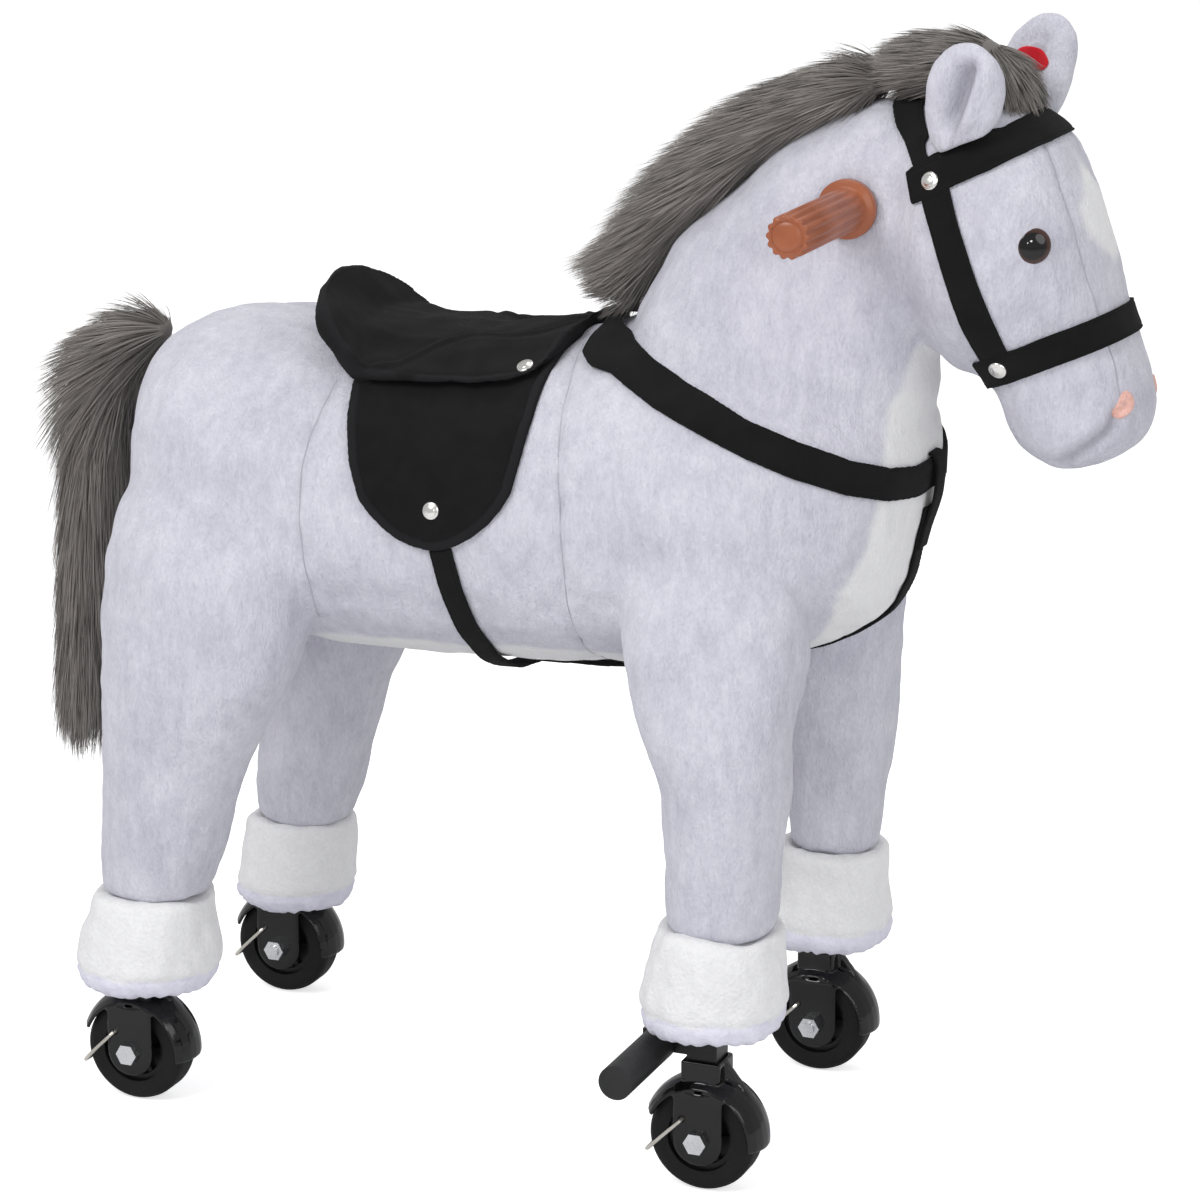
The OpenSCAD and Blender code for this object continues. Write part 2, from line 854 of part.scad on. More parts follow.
module rear_cuffs() {
  color(white_plush)
    difference() {
      for (side = [-1, 1]) cuff_form(side, rear_axle_x, rear_sole_z, rear_cuff_lean_shares);
      for (side = [-1, 1]) grown(gap) rear_leg_form(side);
      posts_room(rear_axle_x);
      both_sides() guard_room();
    }
}

// The wheel guard's own space under a rear cuff
module guard_room() {
  translate([rear_axle_x, -half_track, axle_z])
    rotate([90, 0, 0])
      cylinder(r = crown_r + gap, h = 2 * (guard_half_w + gap), center = true);
  translate([rear_axle_x, -half_track, crown_z])
    cube([socket_w + 2 * gap, socket_w + 2 * gap, 2 * (socket_h + gap)], center = true);
  translate([rear_axle_x, -half_track - gusset_t / 2 - gap, axle_z])
    cube([socket_w / 2 + gusset_l + gap, gusset_t + 2 * gap, crown_r + socket_h]);
}

module mane() {
  color(hair)
    difference() {
      loft(rings([seam_x, back_z], [neck_run, neck_h], mane_w / 2, mane_shares));
      grown(gap) front_form();
      grown(gap) head_form();
      breast_room();
    }
}

module forelock() {
  color(hair)
    difference() {
      loft(rings([head_x, chin_z], [head_l, head_h], mane_w / 2, forelock_shares));
      grown(gap) front_form();
      grown(gap) head_form();
      grown(gap) ear_forms();
      bridle_room();
    }
}

module tail() {
  at = [rump_x + tail_root_share * torso_l, back_z - tail_arch_share * body_h];
  color(hair)
    difference() {
      loft(rings(at, [-tail_reach, -tail_drop], tail_w / 2, tail_shares));
      grown(gap) torso_form();
    }
}

// Face

module eyes() {
  at = spread([head_x, chin_z], [head_l, head_h], eye_shares);
  color("#5a2f17")
    both_sides()
      intersection() {
        skin(gap, eye_h) head_form();
        translate([at[0], -head_w / 2, at[1]])
          rotate([90, 0, 0])
            cylinder(d = eye_d, h = head_w / 2, center = true, $fn = 24);
      }
}

module nostrils() {
  at = spread([head_x, chin_z], [head_l, head_h], nostril_shares);
  color("#d99a9d")
    both_sides()
      intersection() {
        skin(gap, strap_t / 2) head_form();
        translate([at[0], -head_w / 4, at[1]])
          rotate([90, 0, nostril_turn])
            scale([nostril_w / nostril_h, 1, 1])
              cylinder(d = nostril_h, h = head_w / 2, center = true, $fn = 24);
      }
}

// Saddle

saddle_rear_x = seam_x - pommel_back - saddle_l;
seat_z = back_z - seat_drop;

// What lies above the seat's lower edge in side view, lowered by drop
module seat_outline(drop) {
  side_view(concat(
    [for (p = seat_edge_shares) spread([saddle_rear_x, seat_z - drop], [saddle_l, seat_drop], p)],
    [[saddle_rear_x + saddle_l, back_z + beyond], [saddle_rear_x, back_z + beyond]]
  ));
}

module cantle(spare) {
  foot = spread([saddle_rear_x, seat_z], [saddle_l, seat_drop], cantle_foot_shares);
  half = [for (p = cantle_shares) [-p[0] * cantle_l, p[1] * cantle_w / 2 + spare]];
  last = len(half) - 1;
  translate([foot[0], -cantle_slip, foot[1]])
    rotate([0, 90 - cantle_lean, 0])
      translate([spare, 0, -spare])
        linear_extrude(height = cantle_t + 2 * spare)
          polygon(concat(half, [for (i = [0 : last]) [half[last - i][0], -half[last - i][1]]]));
}

module saddle_seat() {
  color(black_cloth)
    difference() {
      union() {
        intersection() {
          grown(gap + seat_t) torso_form();
          seat_outline(0);
        }
        cantle(0);
      }
      grown(gap) torso_form();
    }
}

module flap_outline(drop) {
  at = [saddle_rear_x + saddle_l - flap_front_share * saddle_l - flap_w, seat_z - drop];
  side_view([for (p = flap_shares) spread(at, [flap_w, -flap_drop], p)]);
}

module saddle_flaps() {
  color(black_cloth)
    both_sides()
      difference() {
        intersection() {
          skin(gap, flap_t) torso_form();
          flap_outline(0);
          translate([0, -beyond / 2, 0]) cube([2 * beyond, beyond, 2 * beyond], center = true);
        }
        seat_outline(gap);
        cantle(gap);
        mirror([0, 1, 0]) cantle(gap);
      }
}

module saddle_studs() {
  low = spread([saddle_rear_x, seat_z], [saddle_l, flap_drop], flap_stud_shares);
  high = spread([saddle_rear_x, seat_z], [saddle_l, seat_drop], seat_stud_shares);
  color(zinc)
    both_sides() {
      intersection() {
        skin(2 * gap + flap_t, rivet_h) torso_form();
        translate([low[0], -body_w / 2, low[1]])
          rotate([90, 0, 0]) cylinder(d = rivet_d, h = body_w / 2, center = true, $fn = 24);
      }
      intersection() {
        skin(2 * gap + seat_t, rivet_h) torso_form();
        translate([high[0], 0, high[1] - body_w / 4])
          rotate([stud_turn, 0, 0]) cylinder(d = rivet_d, h = body_w, $fn = 24);
      }
    }
}

// Straps

girth_at = [
  saddle_rear_x + girth_top_shares[0] * saddle_l,
  seat_z - girth_top_shares[1] * flap_drop
];
girth_foot = [saddle_rear_x + girth_foot_share * saddle_l, belly_z];

module girth_strap() {
  color(black_cloth)
    difference() {
      intersection() {
        skin(gap, strap_t) torso_form();
        band(girth_at, girth_foot, girth_w);
      }
      flap_outline(2 * gap);
      translate([-beyond / 2, -beyond / 2, girth_at[1]]) cube(beyond);
    }
}

// Strap along the middle of the belly and the chest
module middle_room() {
  cube([2 * beyond, strap_w, 2 * beyond], center = true);
}

module belly_strap() {
  start = girth_foot + [girth_w / 2 + gap, 0];
  color(black_cloth)
    intersection() {
      skin(gap, strap_t) torso_form();
      middle_room();
      translate([start[0] + girth_w / 4, -beyond / 2, 0])
        cube([seam_x - start[0] - girth_w / 4, beyond, (belly_z + back_z) / 2]);
    }
}

breast_rear = spread([seam_x, belly_z], [chest_l, body_h], breast_shares[0]);
breast_front = spread([seam_x, belly_z], [chest_l, body_h], breast_shares[1]);

module breast_strap() {
  color(black_cloth)
    intersection() {
      skin(gap, strap_t) front_form();
      band(breast_rear, breast_front, strap_w);
      translate([seam_x + gap, -beyond / 2, 0]) cube(beyond);
    }
}

// The breast strap's own space under the mane
module breast_room() {
  intersection() {
    grown(strap_t + 2 * gap) front_form();
    band(breast_rear, breast_front, strap_w + 2 * gap);
  }
}

module chest_strap() {
  color(black_cloth)
    difference() {
      intersection() {
        skin(gap, strap_t) shoulder_form();
        middle_room();
        translate([seam_x + gap, -beyond / 2, 0]) cube(beyond);
      }
      translate([0, 0, -strap_w / 2 - gap]) above(breast_rear, breast_front);
    }
}

function head_points(p) = [for (s = p) spread([head_x, chin_z], [head_l, head_h], s)];

// The bridle's own space under the forelock
module bridle_room() {
  cheek = head_points(cheek_shares);
  brow = head_points(brow_shares);
  intersection() {
    grown(2 * gap + strap_t) head_form();
    union() {
      band(cheek[0], cheek[1], strap_w + 2 * gap);
      band(brow[0], brow[1], strap_w + 2 * gap);
    }
  }
}

module cheek_straps() {
  ends = head_points(cheek_shares);
  brow = head_points(brow_shares);
  nose = head_points(nose_shares);
  color(black_cloth)
    difference() {
      intersection() {
        skin(gap, strap_t) head_form();
        band(ends[0], ends[1], strap_w);
        above(nose[0], nose[1]);
      }
      band(brow[0], brow[1], strap_w + 2 * gap);
      band(nose[0], nose[1], strap_w + 2 * gap);
      grown(gap) front_form();
      grown(gap) ear_forms();
    }
}

// A band over the front of the head that crosses the cheek straps and ends just behind them
module face_band(shares) {
  ends = head_points(shares);
  cheek = head_points(cheek_shares);
  color(black_cloth)
    intersection() {
      skin(gap, strap_t) head_form();
      band(ends[0], ends[1], strap_w);
      translate([-strap_w * tab_share, 0, 0]) above(cheek[0], cheek[1]);
    }
}

module brow_band() {
  difference() {
    face_band(brow_shares);
    grown(gap) ear_forms();
    translate([0, 0, -gap]) grown(gap) ear_forms();
  }
}

module nose_band() {
  face_band(nose_shares);
}

module bridle_rivets() {
  high = head_points(brow_shares)[0];
  low = head_points(nose_shares)[0];
  color(zinc)
    both_sides()
      intersection() {
        skin(2 * gap + strap_t, rivet_h) head_form();
        union() {
          for (at = [high, low])
            translate([at[0], -head_w / 2, at[1]])
              rotate([90, 0, 0]) cylinder(d = rivet_d, h = head_w / 2, center = true, $fn = 24);
        }
      }
}

// Steel frame

lug_y = backbone_w / 2 + gap;
neck_foot = [front_axle_x, cross_z];
pivot_bolt_l = 2 * (lug_y + lug_t + pivot_d);
lug_rear_at = [seam_x, pivot_z];
lug_front_at = neck_tube_at(lug_front_share);
board_z = pivot_z + backbone_w / 2;
board_x = seam_x - pommel_back - board_l - strap_w;
spring_z = pivot_z - spring_depth;
spring_rear_x = seam_x - spring_back;
anchor_w = spring_d;
spring_share = (spring_z - neck_foot[1]) / (handle_at[1] - neck_foot[1]);
spring_front_x = neck_tube_at(spring_share)[0] - neck_tube_d / 2 - anchor_t;

// Point a share of the way up the neck tube
function neck_tube_at(share) = neck_foot + share * (handle_at - neck_foot);

// Its children, stood on the neck tube's line
module on_neck_line() {
  run = handle_at - neck_foot;
  translate([neck_foot[0], 0, neck_foot[1]])
    rotate([0, atan2(run[0], run[1]), 0])
      children();
}

// A rod of radius r along the neck tube's line
module neck_tube_line(r) {
  on_neck_line() cylinder(r = r, h = norm(handle_at - neck_foot));
}

// The neck tube's bore, open at the handle
module neck_tube_bore() {
  on_neck_line()
    cylinder(r = neck_tube_d / 2 - tube_wall, h = norm(handle_at - neck_foot) + neck_tube_d);
}

module cross_tube(x) {
  translate([x, 0, cross_z])
    cube([post_w, 2 * half_track + post_w, post_w], center = true);
}

module cross_bore(x) {
  translate([x, 0, cross_z])
    cube([post_w - 2 * post_wall, 2 * (half_track + post_w), post_w - 2 * post_wall], center = true);
}

// The pair of square posts in two legs, from the wheel guards up to top_z
module posts(x, top_z) {
  h = top_z - post_foot_z;
  color(steel)
    both_sides()
      translate([x, half_track, post_foot_z + h / 2])
        difference() {
          cube([post_w, post_w, h], center = true);
          cube([post_w - 2 * post_wall, post_w - 2 * post_wall, 2 * h], center = true);
        }
}

module front_posts() {
  posts(front_axle_x, cross_z - post_w / 2);
}

module rear_posts() {
  posts(rear_axle_x, cross_z + post_w / 2);
}

module lug() {
  rotate([90, 0, 0])
    linear_extrude(height = lug_t)
      difference() {
        hull() {
          translate(lug_rear_at) circle(d = lug_d, $fn = 32);
          translate(lug_front_at) circle(d = lug_d, $fn = 32);
        }
        translate(lug_rear_at) circle(d = pivot_d + 2 * hinge_spare);
      }
}

// A ring that carries the hinge bolt in a lug's eye
module lug_eye() {
  translate([lug_rear_at[0], 0, lug_rear_at[1]])
    rotate([90, 0, 0])
      difference() {
        cylinder(d = pivot_d + 3 * hinge_spare, h = lug_t);
        translate([0, 0, -over]) cylinder(d = pivot_d, h = lug_t + 2 * over);
      }
}

module front_frame() {
  color(steel) {
    difference() {
      union() {
        cross_tube(front_axle_x);
        neck_tube_line(neck_tube_d / 2);
        both_sides() translate([0, -lug_y, 0]) {
          lug();
          lug_eye();
        }
        translate([spring_front_x, 0, spring_z])
          rotate([0, 90, 0]) cylinder(d = anchor_w, h = anchor_t + neck_tube_d / 2);
      }
      neck_tube_bore();
      cross_bore(front_axle_x);
      translate([handle_at[0], 0, handle_at[1]])
        rotate([90, 0, 0]) cylinder(d = handle_d, h = handle_l, center = true);
    }
  }
}

// The strut from the rear cross tube up to the backbone's rear end, half a side thick
module strut(half) {
  foot = [rear_cross_x, cross_z];
  run = [seam_x - backbone_l + backbone_w / 2, pivot_z] - foot;
  translate([foot[0], 0, foot[1]])
    rotate([0, atan2(run[0], run[1]), 0])
      translate([-half, -half, 0])
        cube([2 * half, 2 * half, norm(run)]);
}

module rear_frame() {
  color(steel)
    difference() {
      union() {
        cross_tube(rear_cross_x);
        strut(post_w / 2);
        translate([seam_x - backbone_l, -backbone_w / 2, pivot_z - backbone_w / 2])
          cube([backbone_l, backbone_w, backbone_w]);
        translate([seam_x, 0, pivot_z])
          rotate([90, 0, 0]) cylinder(d = sleeve_d, h = backbone_w, center = true);
        translate([spring_rear_x - anchor_t, -anchor_w / 2, spring_z - spring_d / 2])
          cube([anchor_t, anchor_w, pivot_z - spring_z]);
      }
      cross_bore(rear_cross_x);
      translate([seam_x, 0, pivot_z])
        rotate([90, 0, 0]) cylinder(d = pivot_d + 2 * axle_play, h = 2 * backbone_w, center = true);
    }
}

module seat_board() {
  color("#b58d5a")
    translate([board_x, -board_w / 2, board_z])
      cube([board_l, board_w, board_t]);
}

// A hex bolt along Y: shank from the head's seat over grip length, with its nut
hex_share = 1.62;
head_share = 0.62;
nut_share = 0.9;

module hex_bolt(d, grip) {
  rotate([90, 0, 0]) {
    shank = grip + nut_share * d + d / 4;
    translate([0, 0, -shank]) cylinder(d = d, h = shank);
    cylinder(d = hex_share * d / cos(30), h = head_share * d, $fn = 6);
  }
}

module hex_nut(d, grip) {
  rotate([90, 0, 0])
    translate([0, 0, -grip - nut_share * d])
      difference() {
        cylinder(d = hex_share * d / cos(30), h = nut_share * d, $fn = 6);
        translate([0, 0, -over]) cylinder(d = d + 2 * axle_play, h = nut_share * d + 2 * over);
      }
}

module pivot_bolt() {
  grip = 2 * (lug_y + lug_t);
  color(zinc)
    translate([seam_x, -grip / 2, pivot_z]) {
      hex_bolt(pivot_d, grip);
      hex_nut(pivot_d, grip);
    }
}

// Return spring: one unbroken tube round the X axis, with a straight stub at each end
spring_ring_sides = 5;
rings_a_coil = 8;

function spring_point(i, n, l, r) =
  let (turn = 360 * i / rings_a_coil, stub = spring_wire)
    i < 0 ? [0, 0, r] : i > n ? [l, 0, r] : [stub + (l - 2 * stub) * i / n, r * sin(turn), r * cos(turn)];

module return_spring() {
  n = spring_coils * rings_a_coil;
  l = spring_front_x - spring_rear_x;
  r = (spring_d - spring_wire) / 2;
  half_wire = spring_wire / 2;
  centres = [for (i = [-1 : n + 1]) spring_point(i, n, l, r)];
  m = len(centres);
  points = [
    for (i = [0 : m - 1])
      let (c = centres[i], turn = i < 2 || i > m - 3 ? 0 : 360 * (i - 1) / rings_a_coil)
        for (k = [0 : spring_ring_sides - 1])
          let (t = 360 * k / spring_ring_sides, out = half_wire * cos(t), side = half_wire * sin(t))
            i == 0 || i == m - 1
              ? c + [0, side, out]
              : c + [side * -1, out * sin(turn), out * cos(turn)]
  ];
  echo("Least gap between spring coils", (l - 2 * spring_wire) / spring_coils - spring_wire);
  color(zinc)
    translate([spring_rear_x, 0, spring_z])
      polyhedron(points, tube_faces(m, spring_ring_sides));
}

// Triangles of a closed tube of m rings with k sides
function tube_faces(m, k) = concat(
  [for (j = [1 : k - 2]) [0, j, j + 1]],
  [
    for (i = [0 : m - 2])
      for (j = [0 : k - 1])
        [i * k + j, (i + 1) * k + j, i * k + (j + 1) % k]
  ],
  [
    for (i = [0 : m - 2])
      for (j = [0 : k - 1])
        [i * k + (j + 1) % k, (i + 1) * k + j, (i + 1) * k + (j + 1) % k]
  ],
  [for (j = [1 : k - 2]) [(m - 1) * k, (m - 1) * k + j + 1, (m - 1) * k + j]]
);

// Handle and foot pegs

module handle_bar() {
  color(steel)
    translate([handle_at[0], 0, handle_at[1]])
      rotate([90, 0, 0])
        difference() {
          cylinder(d = handle_d, h = handle_l, center = true);
          cylinder(d = handle_d - 2 * tube_wall, h = 2 * handle_l, center = true);
        }
}

module handle_grips() {
  grip_l = handle_l / 2 + grip_cap - grip_start;
  flute_d = PI * grip_d / flutes / 2;
  color("#8a4a32")
    both_sides()
      translate([handle_at[0], -grip_start, handle_at[1]])
        rotate([90, 0, 0])
          difference() {
            union() {
              cylinder(d = flange_d, h = flange_t);
              cylinder(d = grip_d, h = grip_l);
              translate([0, 0, grip_l - flange_t]) cylinder(d = grip_d + flange_t, h = flange_t);
            }
            translate([0, 0, -over]) cylinder(d = handle_d, h = handle_l / 2 - grip_start + over);
            for (i = [0 : flutes - 1])
              rotate(360 * i / flutes)
                translate([grip_d / 2, 0, 2 * flange_t])
                  cylinder(d = flute_d, h = grip_l - 4 * flange_t, $fn = 16);
          }
}

peg_at = [front_axle_x - peg_back, axle_z + peg_rise];
bracket_y = half_track - bracket_t / 2;

// A right peg's steel: a bracket off the post's back and the bar that carries the sleeve
module peg_steel(spare) {
  l = peg_back + peg_d / 2 - post_w / 2;
  foot_z = crown_z + socket_h + 2 * gap;
  top_z = peg_at[1] + bracket_h / 2;
  translate([peg_at[0] - peg_d / 2 + l / 2, -bracket_y - bracket_t / 2, (foot_z + top_z) / 2])
    cube([l + 2 * spare, bracket_t + 2 * spare, top_z - foot_z + 2 * spare], center = true);
  translate([peg_at[0], -bracket_y - over, peg_at[1]])
    rotate([90, 0, 0]) cylinder(d = peg_bar_d, h = peg_l + bracket_t - over - flange_t / 2);
}

module peg_room() {
  peg_steel(gap);
  translate([peg_at[0], -bracket_y, peg_at[1]])
    rotate([90, 0, 0]) round_room(peg_d + 2 * peg_spare, bracket_t + peg_l + over);
}
// Room round a peg for what slides onto it
peg_spare = 2;

module peg_bars() {
  color(steel) both_sides() peg_steel(0);
}

module peg_sleeves() {
  color(black_plastic)
    both_sides()
      translate([peg_at[0], -bracket_y - bracket_t, peg_at[1]])
        rotate([90, 0, 0])
          difference() {
            cylinder(d = peg_d, h = peg_l);
            translate([0, 0, -over]) cylinder(d = peg_bar_d, h = peg_l - flange_t / 2 + over);
          }
}

// Wheel units, each around its axle on the Y axis

socket_w = post_w + 2 * socket_wall;
gusset_t = 2 * socket_wall;
catch_at = [-catch_back, catch_up];
arm_y = guard_half_w + catch_gap + wire_d;
fender_steps = 6;

// Domed section of the fender, radius along X and width along Y
function fender_arc(r, a) = [
  for (i = [0 : fender_steps])
    let (t = a * (2 * i / fender_steps - 1)) [crown_r - dome_r + r * cos(t), r * sin(t)]
];

module fender() {
  a = asin(guard_half_w / dome_r);
  inner = fender_arc(dome_r - guard_wall, a);
  rotate([90, 0, 0])
    rotate(-guard_front)
      rotate_extrude(angle = 180 + guard_front - guard_rear, $fn = 96)
        polygon(concat(fender_arc(dome_r, a), [for (i = [fender_steps : -1 : 0]) inner[i]]));
}

// One flat cheek plate, its outline drawn in X and Z
module cheek() {
  rise = sqrt(crown_r * crown_r - cheek_w * cheek_w / 4) - guard_dome;
  translate([0, cheek_y + cheek_t, 0])
    rotate([90, 0, 0])
      linear_extrude(height = cheek_t) {
        circle(d = cheek_w);
        translate([-cheek_w / 2, 0]) square([cheek_w, rise]);
      }
}

module gusset() {
  foot = socket_w / 2 + gusset_l;
  foot_z = sqrt(crown_r * crown_r - foot * foot);
  translate([0, gusset_t / 2, 0])
    rotate([90, 0, 0])
      linear_extrude(height = gusset_t)
        polygon([
          [socket_w / 2 - over, guard_r + over],
          [foot, foot_z],
          [socket_w / 2 - over, crown_r + socket_h]
        ]);
}

// A guard with both forks: fender, cheeks, post socket and gusset
module guard(x, side) {
  post_room_h = crown_z + socket_h - post_foot_z;
  color(black_plastic)
    translate([x, side * half_track, axle_z])
      difference() {
        union() {
          fender();
          both_sides() cheek();
          translate([0, 0, (guard_r + crown_r + socket_h) / 2])
            cube([socket_w, socket_w, crown_r + socket_h - guard_r], center = true);
          gusset();
        }
        translate([0, 0, post_foot_z - axle_z + post_room_h])
          cube([post_w, post_w, 2 * post_room_h], center = true);
        rotate([90, 0, 0]) cylinder(d = axle_d, h = 4 * cheek_y, center = true);
        translate([catch_at[0], 0, catch_at[1]])
          rotate([90, 0, 0]) cylinder(d = wire_d + 2 * axle_play, h = 4 * cheek_y, center = true);
      }
}

module guard_front_right() {
  guard(front_axle_x, -1);
}

module guard_front_left() {
  guard(front_axle_x, 1);
}

module guard_rear_right() {
  guard(rear_axle_x, -1);
}

module guard_rear_left() {
  guard(rear_axle_x, 1);
}

// Half the section of a tyre, with round shoulders
module tyre(x, side) {
  color("#202022")
    translate([x, side * half_track, axle_z])
      rotate([90, 0, 0])
        rotate_extrude($fn = 96)
          polygon(concat(
            [[rim_d / 2, -tyre_w / 2]],
            [for (t = [-90 : 30 : 0]) tyre_corner(t, -1)],
            [for (t = [0 : 30 : 90]) tyre_corner(t, 1)],
            [[rim_d / 2, tyre_w / 2]]
          ));
}

function tyre_corner(t, end) =
  [wheel_d / 2 - tyre_round + tyre_round * cos(t), end * (tyre_w / 2 - tyre_round) + tyre_round * sin(t)];

module rim(x, side) {
  hub_l = 2 * (cheek_y - gap);
  rim_w = tyre_w - 2 * rim_wall;
  color("#2a2a2d")
    translate([x, side * half_track, axle_z])
      rotate([90, 0, 0])
        difference() {
          union() {
            difference() {
              cylinder(d = rim_d, h = rim_w, center = true);
              cylinder(d = rim_d - 2 * rim_wall, h = 2 * rim_w, center = true);
            }
            cylinder(d = rim_d - rim_wall, h = web_t, center = true);
            cylinder(d = hub_d, h = hub_l, center = true);
            for (i = [0 : spokes - 1])
              rotate(360 * i / spokes)
                translate([0, -spoke_t / 2, -rim_w / 2 + web_t / 2])
                  cube([(rim_d - rim_wall) / 2, spoke_t, rim_w - web_t]);
          }
          cylinder(d = axle_d + 2 * axle_play, h = 2 * hub_l, center = true);
        }
}

module rim_front_right() {
  rim(front_axle_x, -1);
}

module rim_front_left() {
  rim(front_axle_x, 1);
}

module rim_rear_right() {
  rim(rear_axle_x, -1);
}

module rim_rear_left() {
  rim(rear_axle_x, 1);
}

module tyre_front_right() {
  tyre(front_axle_x, -1);
}

module tyre_front_left() {
  tyre(front_axle_x, 1);
}

module tyre_rear_right() {
  tyre(rear_axle_x, -1);
}

module tyre_rear_left() {
  tyre(rear_axle_x, 1);
}

// Axle bolts with their heads outside and their nuts inside
module axle_bolts(x) {
  color(zinc)
    both_sides()
      translate([x, -half_track - guard_half_w, axle_z]) {
        hex_bolt(axle_d, 2 * guard_half_w);
        hex_nut(axle_d, 2 * guard_half_w);
      }
}

module front_axle_bolts() {
  axle_bolts(front_axle_x);
}

module rear_axle_bolts() {
  axle_bolts(rear_axle_x);
}

// Wire catch: a bail that pivots in both cheeks and hangs behind the tyre
arm_run = let (u = [-cos(catch_slope), -sin(catch_slope)], reach = wheel_d / 2 + catch_gap + wire_d / 2)
  -(catch_at * u) + sqrt(pow(catch_at * u, 2) - catch_at * catch_at + reach * reach);
bail_corner = 4 * wire_d;
catch_sides = 8;

// Half of a catch in its own plane: across the wheel, then along its arms
catch_half = concat(
  [[cheek_y, 0]],
  [for (t = [0 : 45 : 90]) [arm_y - wire_d * (1 - sin(t)), wire_d * (1 - cos(t))]],
  [for (t = [0 : 30 : 90]) [arm_y - bail_corner * (1 - cos(t)), arm_run - bail_corner * (1 - sin(t))]]
);

module catch(x, side) {
  last = len(catch_half) - 1;
  path = concat(catch_half, [for (i = [last : -1 : 0]) [-catch_half[i][0], catch_half[i][1]]]);
  m = len(path);
  points = [
    for (i = [0 : m - 1])
      let (d = path[min(i + 1, m - 1)] - path[max(i - 1, 0)], n = [-d[1], d[0]] / norm(d))
        for (k = [0 : catch_sides - 1])
          let (t = 360 * k / catch_sides, c = path[i] + n * cos(t) * wire_d / 2)
            [c[1], c[0], sin(t) * wire_d / 2]
  ];
  color(zinc)
    translate([x + catch_at[0], side * half_track, axle_z + catch_at[1]])
      rotate([0, 180 - catch_slope, 0])
        polyhedron(points, tube_faces(m, catch_sides));
}

module catch_front_right() {
  catch(front_axle_x, -1);
}

module catch_front_left() {
  catch(front_axle_x, 1);
}

module catch_rear_right() {
  catch(rear_axle_x, -1);
}

module catch_rear_left() {
  catch(rear_axle_x, 1);
}

// Sound unit

sound_at = spread([head_x, chin_z], [head_l, head_h], sound_box_shares);

// The pocket for the sound box, open at the back of the head
module sound_room() {
  front_x = sound_at[0] + sound_box_l / 2 + gap;
  translate([front_x - head_l / 2, 0, sound_at[1]])
    cube([head_l, sound_box_w + 2 * gap, sound_box_h + 2 * gap], center = true);
}

module sound_box() {
  color("#d8d8d4")
    translate([sound_at[0], 0, sound_at[1]])
      cube([sound_box_l, sound_box_w, sound_box_h], center = true);
}

ear_root = spread([head_x, chin_z], [head_l, head_h], [ear_root_shares[0], ear_root_shares[1]]);
button_at = [
  ear_root[0] + ear_stagger + button_share * ear_tilt,
  ear_root_shares[2] * head_w / 2 + button_share * ear_lean_share * ear_h,
  ear_root[1] + ear_lift + button_share * ear_h
];

// The pocket for the button, open at the ear's inner face
module button_room() {
  translate(button_at + [0, -ear_t, 0])
    rotate([-90, 0, 0])
      cylinder(d = button_d + 2 * gap, h = ear_t + button_t / 2 + button_travel + gap, $fn = 24);
}

module sound_button() {
  color("#c0392b")
    translate(button_at)
      rotate([90, 0, 0]) cylinder(d = button_d, h = button_t, center = true);
}

torso();
shoulders();
neck();
head();
ear_right();
ear_left();
leg_front_right();
leg_front_left();
leg_rear_right();
leg_rear_left();
front_cuffs();
rear_cuffs();
mane();
forelock();
tail();
eyes();
nostrils();
saddle_seat();
saddle_flaps();
saddle_studs();
girth_strap();
belly_strap();
breast_strap();
chest_strap();
cheek_straps();
brow_band();
nose_band();
bridle_rivets();
front_frame();
front_posts();
rear_frame();
rear_posts();
seat_board();
pivot_bolt();
return_spring();
handle_bar();
handle_grips();
peg_bars();
peg_sleeves();
guard_front_right();
guard_front_left();
guard_rear_right();
guard_rear_left();
rim_front_right();
rim_front_left();
rim_rear_right();
rim_rear_left();
tyre_front_right();
tyre_front_left();
tyre_rear_right();
tyre_rear_left();
front_axle_bolts();
rear_axle_bolts();
catch_front_right();
catch_front_left();
catch_rear_right();
catch_rear_left();
sound_box();
sound_button();
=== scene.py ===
import itertools
import math

import bmesh
import bpy
import numpy as np
import openvdb
from mathutils import Matrix, Vector
from mathutils.bvhtree import BVHTree
from mathutils.kdtree import KDTree


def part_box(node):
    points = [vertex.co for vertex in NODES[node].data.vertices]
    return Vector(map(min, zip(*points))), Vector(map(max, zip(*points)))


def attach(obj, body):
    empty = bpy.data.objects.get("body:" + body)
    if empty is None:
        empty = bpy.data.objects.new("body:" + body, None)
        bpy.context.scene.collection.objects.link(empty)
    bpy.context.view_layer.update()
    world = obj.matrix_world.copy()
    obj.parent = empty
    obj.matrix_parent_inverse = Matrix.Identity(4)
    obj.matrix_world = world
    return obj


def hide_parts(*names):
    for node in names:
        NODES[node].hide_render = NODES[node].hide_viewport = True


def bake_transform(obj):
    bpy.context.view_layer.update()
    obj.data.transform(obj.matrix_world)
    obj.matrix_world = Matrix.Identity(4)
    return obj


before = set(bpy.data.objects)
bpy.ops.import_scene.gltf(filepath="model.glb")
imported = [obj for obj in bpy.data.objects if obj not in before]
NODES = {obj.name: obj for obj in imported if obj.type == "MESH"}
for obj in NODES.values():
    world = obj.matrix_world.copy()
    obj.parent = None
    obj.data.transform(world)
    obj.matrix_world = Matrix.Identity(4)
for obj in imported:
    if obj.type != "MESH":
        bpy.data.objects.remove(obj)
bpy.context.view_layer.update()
SCENE = bpy.context.scene
MM = 0.001
UP = np.array([0, 0, 1.0])
# The horse's sides, with the sign that Y has there.
SIDES = (("right", -1), ("left", 1))

# The hinge, where the rear and front halves fold.
PIVOT_X, PIVOT_Z = 0.042, 0.4755
BOTH_HALVES = "both halves"


# Number helpers

